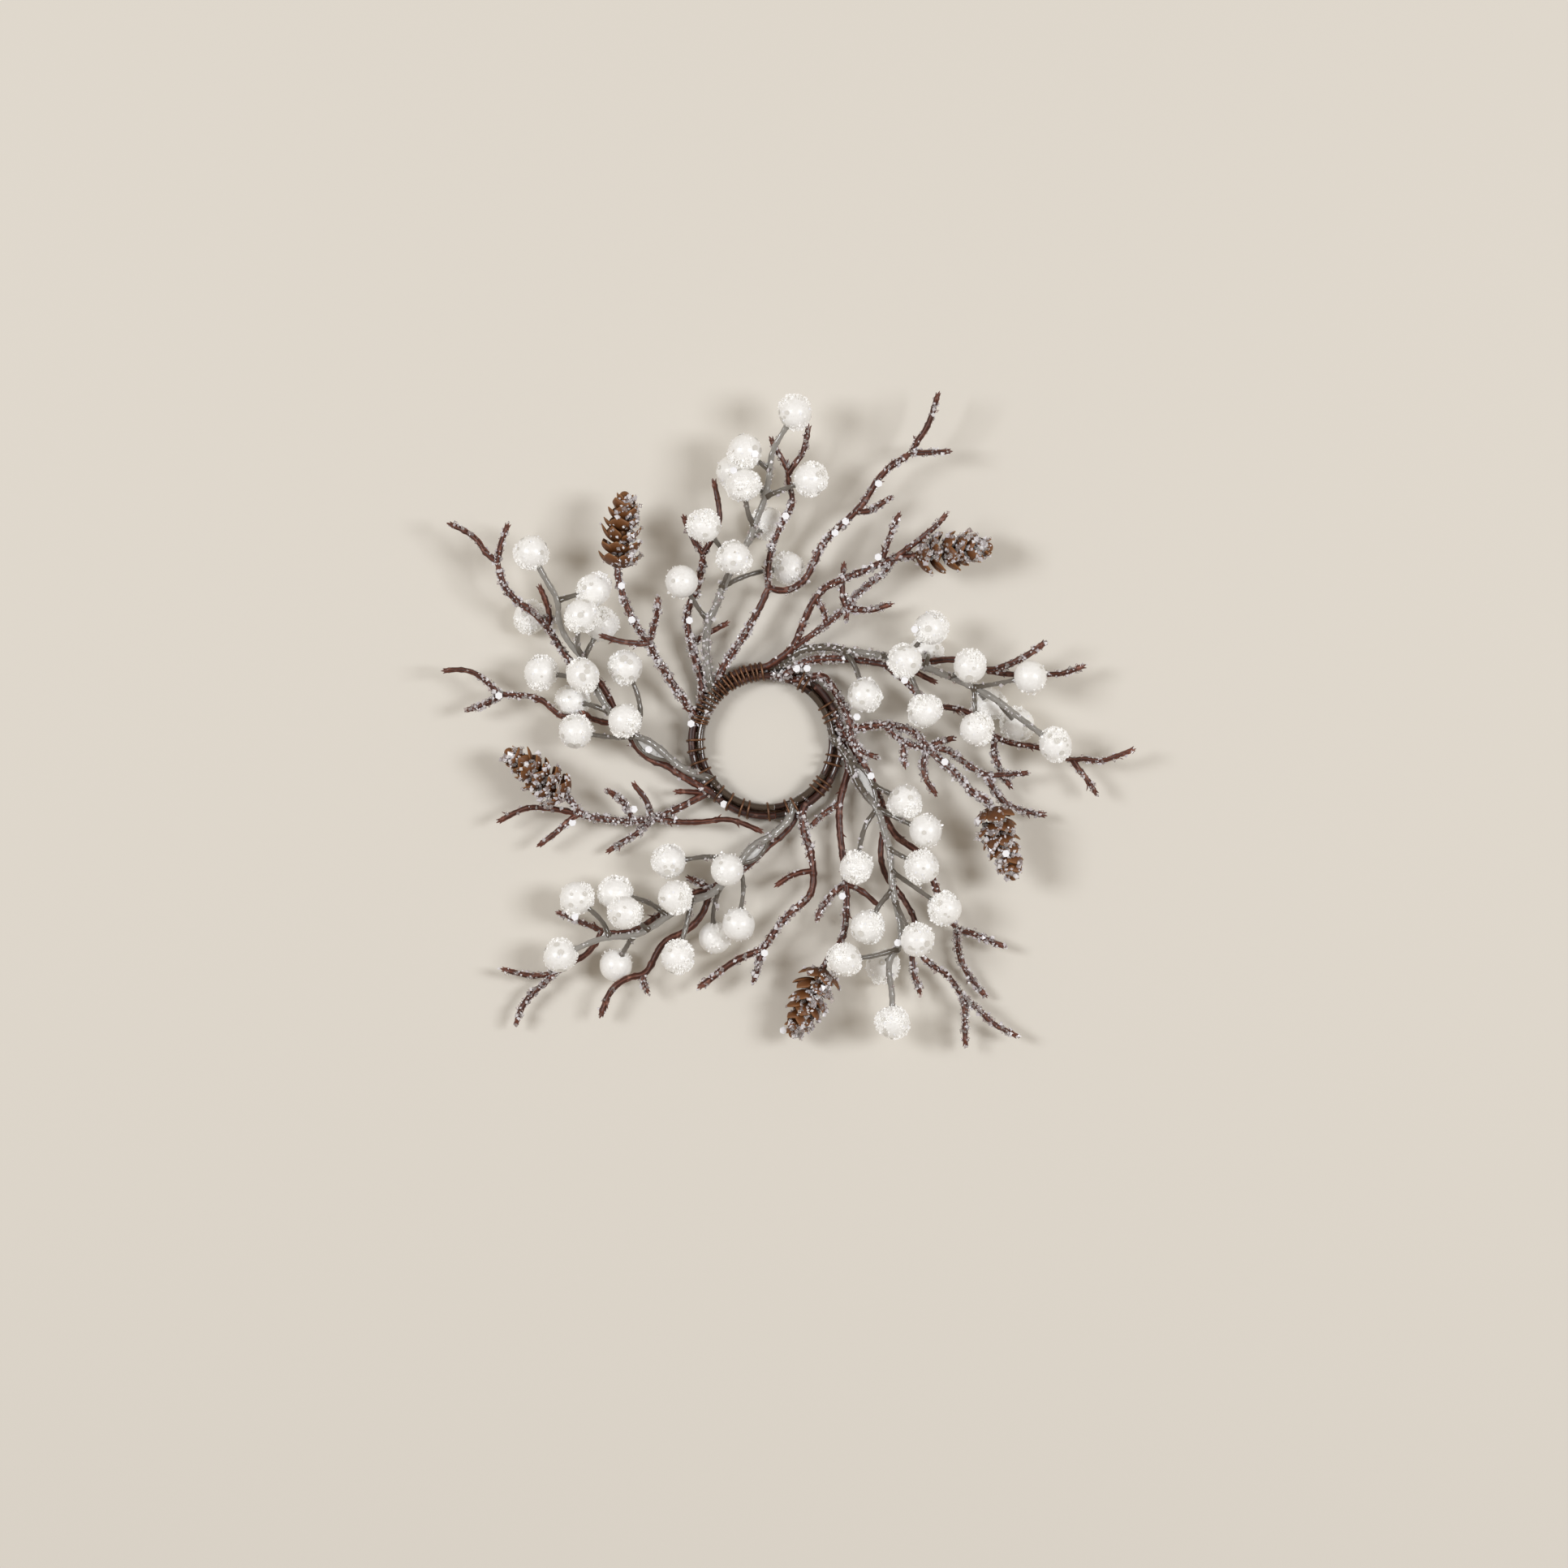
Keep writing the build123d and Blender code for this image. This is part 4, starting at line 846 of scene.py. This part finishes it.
def make_binding():
    """One thin wire over and under the bundle, from turn to turn."""
    angles, phases = [binding_turns[0] + 6], [-90.0]
    for number, angle in enumerate(binding_turns):
        lead = LEAD + rng.normal(0, LEAD_SPREAD)
        angle = angle + rng.normal(0, PLACE_SPREAD)
        angles += [angle + lead * 0.8, angle - lead * 0.8]
        phases += [-90 + 360 * number, 270 + 360 * number]
    angles = np.array(angles)
    for n in range(1, len(angles)):
        while angles[n] > angles[n - 1] + 90:
            angles[n:] -= 360
    fine = np.linspace(0, len(angles) - 1, (len(angles) - 1) * STEPS_PER_TURN)
    angle = np.radians(np.interp(fine, np.arange(len(angles)), angles))
    phase = np.radians(np.interp(fine, np.arange(len(angles)), phases))
    jitter = 1 + 0.02 * np.sin(fine * 2.3)
    wide, high = (np.sign(part) * np.abs(part) ** OVAL_POWER for part in (np.cos(phase), np.sin(phase)))
    radius = HOOP_RADIUS + HALF_WIDE * wide * jitter
    height = HOOP_HEIGHT + HALF_HIGH * high * jitter
    path = np.column_stack((radius * np.cos(angle), radius * np.sin(angle), height))
    geometry = Geometry()
    path, _ = smooth_path(path, step=0.25, rounds=1)
    tube(geometry, path, np.full(len(path), BINDING_RADIUS), sides=8)
    return geometry


# Materials


def material(name, base, roughness, **sockets):
    made = bpy.data.materials.new(name)
    made.use_nodes = True
    shader = made.node_tree.nodes["Principled BSDF"]
    shader.inputs["Base Color"].default_value = (*base, 1)
    shader.inputs["Roughness"].default_value = roughness
    for socket, value in sockets.items():
        shader.inputs[socket.replace("_", " ")].default_value = value
    return made


def node(made, kind, **settings):
    new = made.node_tree.nodes.new(kind)
    for key, value in settings.items():
        setattr(new, key, value)
    return new


def link(made, start, end):
    made.node_tree.links.new(start, end)


def ramp(made, source, *stops):
    new = node(made, "ShaderNodeValToRGB")
    elements = new.color_ramp.elements
    while len(elements) < len(stops):
        elements.new(0.5)
    for element, (at, colour) in zip(elements, stops):
        element.position = at
        element.color = (*colour, 1)
    link(made, source, new.inputs["Fac"])
    return new.outputs["Color"]


def noise(made, scale, detail):
    coordinates = node(made, "ShaderNodeTexCoord")
    new = node(made, "ShaderNodeTexNoise")
    new.inputs["Scale"].default_value = scale
    new.inputs["Detail"].default_value = detail
    link(made, coordinates.outputs["Object"], new.inputs["Vector"])
    return new.outputs["Fac"]


def mix(made, factor, one, two, blend="MULTIPLY"):
    """Two colours, mixed by the Mix node's sockets for colours."""
    new = node(made, "ShaderNodeMix", data_type="RGBA", blend_type=blend)
    new.inputs[0].default_value = factor
    link(made, one, new.inputs[6])
    link(made, two, new.inputs[7])
    return new.outputs[2]


def tone(made):
    return node(made, "ShaderNodeAttribute", attribute_name="tone").outputs["Fac"]


def paint(made, colour, relief=None, strength=0.0, depth=0.0):
    """Gives a finish its colour and, where a noise is named for it, its relief."""
    shader = made.node_tree.nodes["Principled BSDF"]
    link(made, colour, shader.inputs["Base Color"])
    if relief:
        bump = node(made, "ShaderNodeBump")
        bump.inputs["Strength"].default_value = strength
        bump.inputs["Distance"].default_value = depth
        link(made, relief, bump.inputs["Height"])
        link(made, bump.outputs["Normal"], shader.inputs["Normal"])
    return made


BLACK, WHITE_PAINT = (0, 0, 0), (1, 1, 1)


def twig_material():
    made = material("twig_brown", (0.13, 0.04, 0.024), 0.42)
    speckle, broad = noise(made, 420, 4), noise(made, 70, 2)
    # The tone paints shade in the grooves and light on the ridges; it is also darker on the bound tail and
    # paler at a pointed tip.
    grooves = ramp(made, tone(made), (0.0, (0.026, 0.010, 0.007)), (0.35, (0.083, 0.024, 0.013)),
                   (1.0, (0.18, 0.054, 0.029)))
    varied = mix(made, 0.55, grooves, ramp(made, broad, (0.3, (0.45, 0.42, 0.42)), (0.7, (1.0, 0.9, 0.85))))
    worn = ramp(made, speckle, (0.55, BLACK), (0.72, (0.22, 0.12, 0.09)))
    return paint(made, mix(made, 0.8, varied, worn, "ADD"), speckle, 0.5, 0.0003)


def grey_material():
    made = material("stem_grey", (0.3, 0.28, 0.25), 0.22, Transmission_Weight=0.15, Coat_Weight=1.0,
                    Coat_Roughness=0.12)
    speckle, broad = noise(made, 300, 3), noise(made, 110, 2)
    # The tone carries painted light and a painted highlight on top, painted shade near the ring, and the dark
    # line of the wire.
    painted_light_and_wire_line = ramp(made, tone(made), (0.0, (0.072, 0.046, 0.028)), (0.05, (0.11, 0.085, 0.06)),
                   (0.3, (0.32, 0.30, 0.27)), (0.6, (0.62, 0.605, 0.57)), (1.0, (0.90, 0.89, 0.86)))
    cloudy = ramp(made, broad, (0.3, (0.45, 0.43, 0.40)), (0.7, WHITE_PAINT))
    return paint(made, mix(made, 0.4, painted_light_and_wire_line, cloudy), speckle, 0.3, 0.0003)


def pearl_material():
    # The faint emission is painted light: the berries shine a little of their own.
    made = material("berry_pearl", (0.86, 0.85, 0.82), 0.34, Coat_Weight=0.25, Coat_Roughness=0.25,
                    Emission_Color=(1, 0.97, 0.91, 1), Emission_Strength=0.06)
    fine, specks = noise(made, 900, 4), noise(made, 520, 2)
    base = ramp(made, fine, (0.3, (0.87, 0.855, 0.82)), (0.7, (0.95, 0.94, 0.915)))
    dark = ramp(made, specks, (0.22, (0.50, 0.44, 0.36)), (0.28, WHITE_PAINT))
    return paint(made, mix(made, 0.8, base, dark), fine, 0.35, 0.0004)


def cone_material():
    made = material("cone_scale", (0.25, 0.1, 0.03), 0.5)
    speckle = noise(made, 500, 4)
    # The tone's dark end is painted shade at the scales' feet; the light end is the tips' and edges' own
    # colour.
    brown = ramp(made, tone(made), (0.0, (0.022, 0.007, 0.003)), (0.4, (0.15, 0.051, 0.012)),
                 (0.8, (0.30, 0.122, 0.033)), (1.0, (0.58, 0.34, 0.13)))
    dirty = ramp(made, speckle, (0.3, (0.5, 0.45, 0.4)), (0.7, WHITE_PAINT))
    return paint(made, mix(made, 0.35, brown, dirty), speckle, 0.4, 0.0003)


def wire_material():
    made = material("wire_copper", (0.28, 0.12, 0.06), 0.35, Metallic=0.6)
    speckle = noise(made, 300, 3)
    copper = ramp(made, speckle, (0.3, (0.085, 0.040, 0.020)), (0.7, (0.24, 0.114, 0.057)))
    return paint(made, copper, speckle, 0.2, 0.0002)


def hoop_material():
    made = material("hoop_brown", (0.05, 0.022, 0.015), 0.25, Coat_Weight=0.4)
    # The tone paints shade in the wire's grooves and light on its ridges.
    return paint(made, ramp(made, tone(made), (0.0, (0.022, 0.010, 0.007)), (1.0, (0.085, 0.036, 0.024))))


def grain_material(name, roughness, *stops, transmission=0.0, glow=0.0):
    """A finish for grains, flakes and films: each has its own tone between the stops' colours; glow is
    painted light, an emission of their own.
    """
    made = material(name, stops[0][1], roughness, Transmission_Weight=transmission, IOR=1.5,
                    Emission_Color=(1, 0.985, 0.95, 1), Emission_Strength=glow)
    return paint(made, ramp(made, tone(made), *stops))


crust = (
    grain_material("crystal_clear", 0.08, (0.0, (0.80, 0.69, 0.67)), (0.5, (0.95, 0.90, 0.89)),
                   (1.0, (1.0, 0.97, 0.93)), transmission=0.75),
    grain_material("crystal_white", 0.22, (0.0, (0.66, 0.61, 0.63)), (0.6, (0.88, 0.85, 0.87)),
                   (1.0, (0.97, 0.95, 0.95)), transmission=0.15),
    grain_material("clear_film", 0.12, (0.0, (0.80, 0.805, 0.79)), (1.0, (0.92, 0.92, 0.91)),
                   transmission=0.5),
    grain_material("hexagon_shine", 0.12, (0.0, (0.95, 0.95, 0.97)), (1.0, (0.98, 0.98, 1.0))))
stem_finishes, twig_finishes, cone_finishes = (
    (made, *crust) for made in (grey_material(), twig_material(), cone_material()))
berry_finishes = (
    pearl_material(),
    # The berries' grains get painted light, a faint emission of their own.
    grain_material("berry_ice", 0.2, (0.0, (0.95, 0.945, 0.93)), (1.0, (1.0, 1.0, 0.99)), glow=0.1),
    grain_material("berry_frost", 0.4, (0.0, (0.93, 0.92, 0.89)), (1.0, (1.0, 0.995, 0.98)), glow=0.1),
    grain_material("berry_flake", 0.25, (0.0, (0.70, 0.67, 0.61)), (1.0, (0.82, 0.80, 0.75))),
    crust[SHINE - 1])
hoop_finishes = (hoop_material(),)

# Pieces: geometry, name, finishes, slot and the node that each replaces
pieces = []
for number, (spray, frost, shaded) in enumerate(zip(berry_stems_share, stem_frost, stem_shaded), start=1):
    stem, berries = make_stem(spray, frost, shaded), make_berries(number, spray)
    pieces += [(stem, f"stem_{number}", stem_finishes, "grey_stem", f"berry_stem_{number}"),
               (berries, f"berries_of_stem_{number}", berry_finishes, "berry", f"berries_{number}")]
for number, (spray, frost, frosted) in enumerate(zip(cone_twigs_share, cone_twig_frost, cone_frost), start=1):
    twig, cone = make_twig(spray, frost), make_cone(spray, frosted)
    pieces += [(twig, f"twig_of_cone_{number}", twig_finishes, "brown_twig", f"cone_twig_{number}"),
               (cone, f"pine_cone_{number}", cone_finishes, "cone", f"cone_{number}")]
for number, (spray, frost) in enumerate(zip(side_twigs_share, side_twig_frost), start=1):
    twig = make_twig(spray, frost)
    pieces.append((twig, f"twig_{number}", twig_finishes, "brown_twig", f"side_twig_{number}"))
pieces += [(make_hoop("in"), "hoop_in", hoop_finishes, "hoop_wire", "hoop_wire_inner"),
           (make_hoop("out"), "hoop_out", hoop_finishes, "hoop_wire", "hoop_wire_outer"),
           (make_binding(), "binding", (wire_material(),), "binding_wire", "binding_wire")]

# Each sequin lies flat on the highest point near its place.
SEQUIN_RADIUS, SEQUIN_THICK, SEQUIN_SEARCH, SEQUIN_TILT = 1.3, 0.08, 0.9, 0.12
carriers = [(geometry, np.concatenate(geometry.points)) for geometry, _, finishes, _, _ in pieces
            if len(finishes) > SHINE]
for share in sequins:
    x, y = share[0] * REACH, share[1] * REACH
    best = None
    for geometry, points in carriers:
        close = points[np.hypot(points[:, 0] - x, points[:, 1] - y) < SEQUIN_SEARCH]
        if len(close) and (best is None or close[:, 2].max() > best[0]):
            best = (close[:, 2].max(), geometry)
    if best:
        normal = unit(np.array((rng.normal(0, SEQUIN_TILT), rng.normal(0, SEQUIN_TILT), 1.0)))
        centre = np.array((x, y, best[0] + SEQUIN_THICK))
        flakes(best[1], [centre], [normal], [SEQUIN_RADIUS], SHINE, SEQUIN_THICK)

for geometry, *labels in pieces:
    geometry.make(*labels)

# Stage, light and camera, in metres
FLOOR_HALF, CAMERA_HEIGHT, SENSOR_MM, CLIP_END = 3.0, 2.5, 36, 20
LAMP_SIZE, LAMP_POWER, LAMP_COLOUR = (0.5, 0.7), 14.6, (0.975, 1.0, 1.045)
SKY_COLOUR, SKY_STRENGTH = (1, 0.88, 0.75, 1), 0.33
LAMPS = {"left": (-1.1, 0.25, 1.5), "right": (1.1, 0.1, 1.5)}
# The photograph's size, the ring's middle in it, and the size of one of its pixels on the table
PHOTO_PX, RING_X_PX, RING_Y_PX = 1932, 944, 914
METRES_PER_PX = 0.13 / 480

floor_mesh = bpy.data.meshes.new("floor")
floor_mesh.from_pydata([(x * FLOOR_HALF, y * FLOOR_HALF, 0) for x, y in ((-1, -1), (1, -1), (1, 1), (-1, 1))],
                       [], [(0, 1, 2, 3)])
floor_mesh.materials.append(material("floor_beige", (0.752, 0.712, 0.637), 0.9))
add_object("floor", floor_mesh)

world = bpy.data.worlds.new("world")
bpy.context.scene.world = world
world.use_nodes = True
world.node_tree.nodes["Background"].inputs["Color"].default_value = SKY_COLOUR
world.node_tree.nodes["Background"].inputs["Strength"].default_value = SKY_STRENGTH

for name, spot in LAMPS.items():
    data = bpy.data.lights.new(name, "AREA")
    data.shape, data.size, data.size_y = "RECTANGLE", *LAMP_SIZE
    data.energy, data.color = LAMP_POWER, LAMP_COLOUR
    lamp = add_object(name, data)
    lamp.location = spot
    lamp.rotation_euler = Vector(spot).to_track_quat("Z", "Y").to_euler()

camera_data = bpy.data.cameras.new("camera")
camera = add_object("camera", camera_data)
camera_data.sensor_width = SENSOR_MM
camera_data.lens = SENSOR_MM * CAMERA_HEIGHT / (PHOTO_PX * METRES_PER_PX)
camera_data.clip_end = CLIP_END
camera.location = ((PHOTO_PX / 2 - RING_X_PX) * METRES_PER_PX, (RING_Y_PX - PHOTO_PX / 2) * METRES_PER_PX,
                   CAMERA_HEIGHT)
bpy.context.scene.camera = camera
bpy.context.scene.view_settings.view_transform = "Standard"
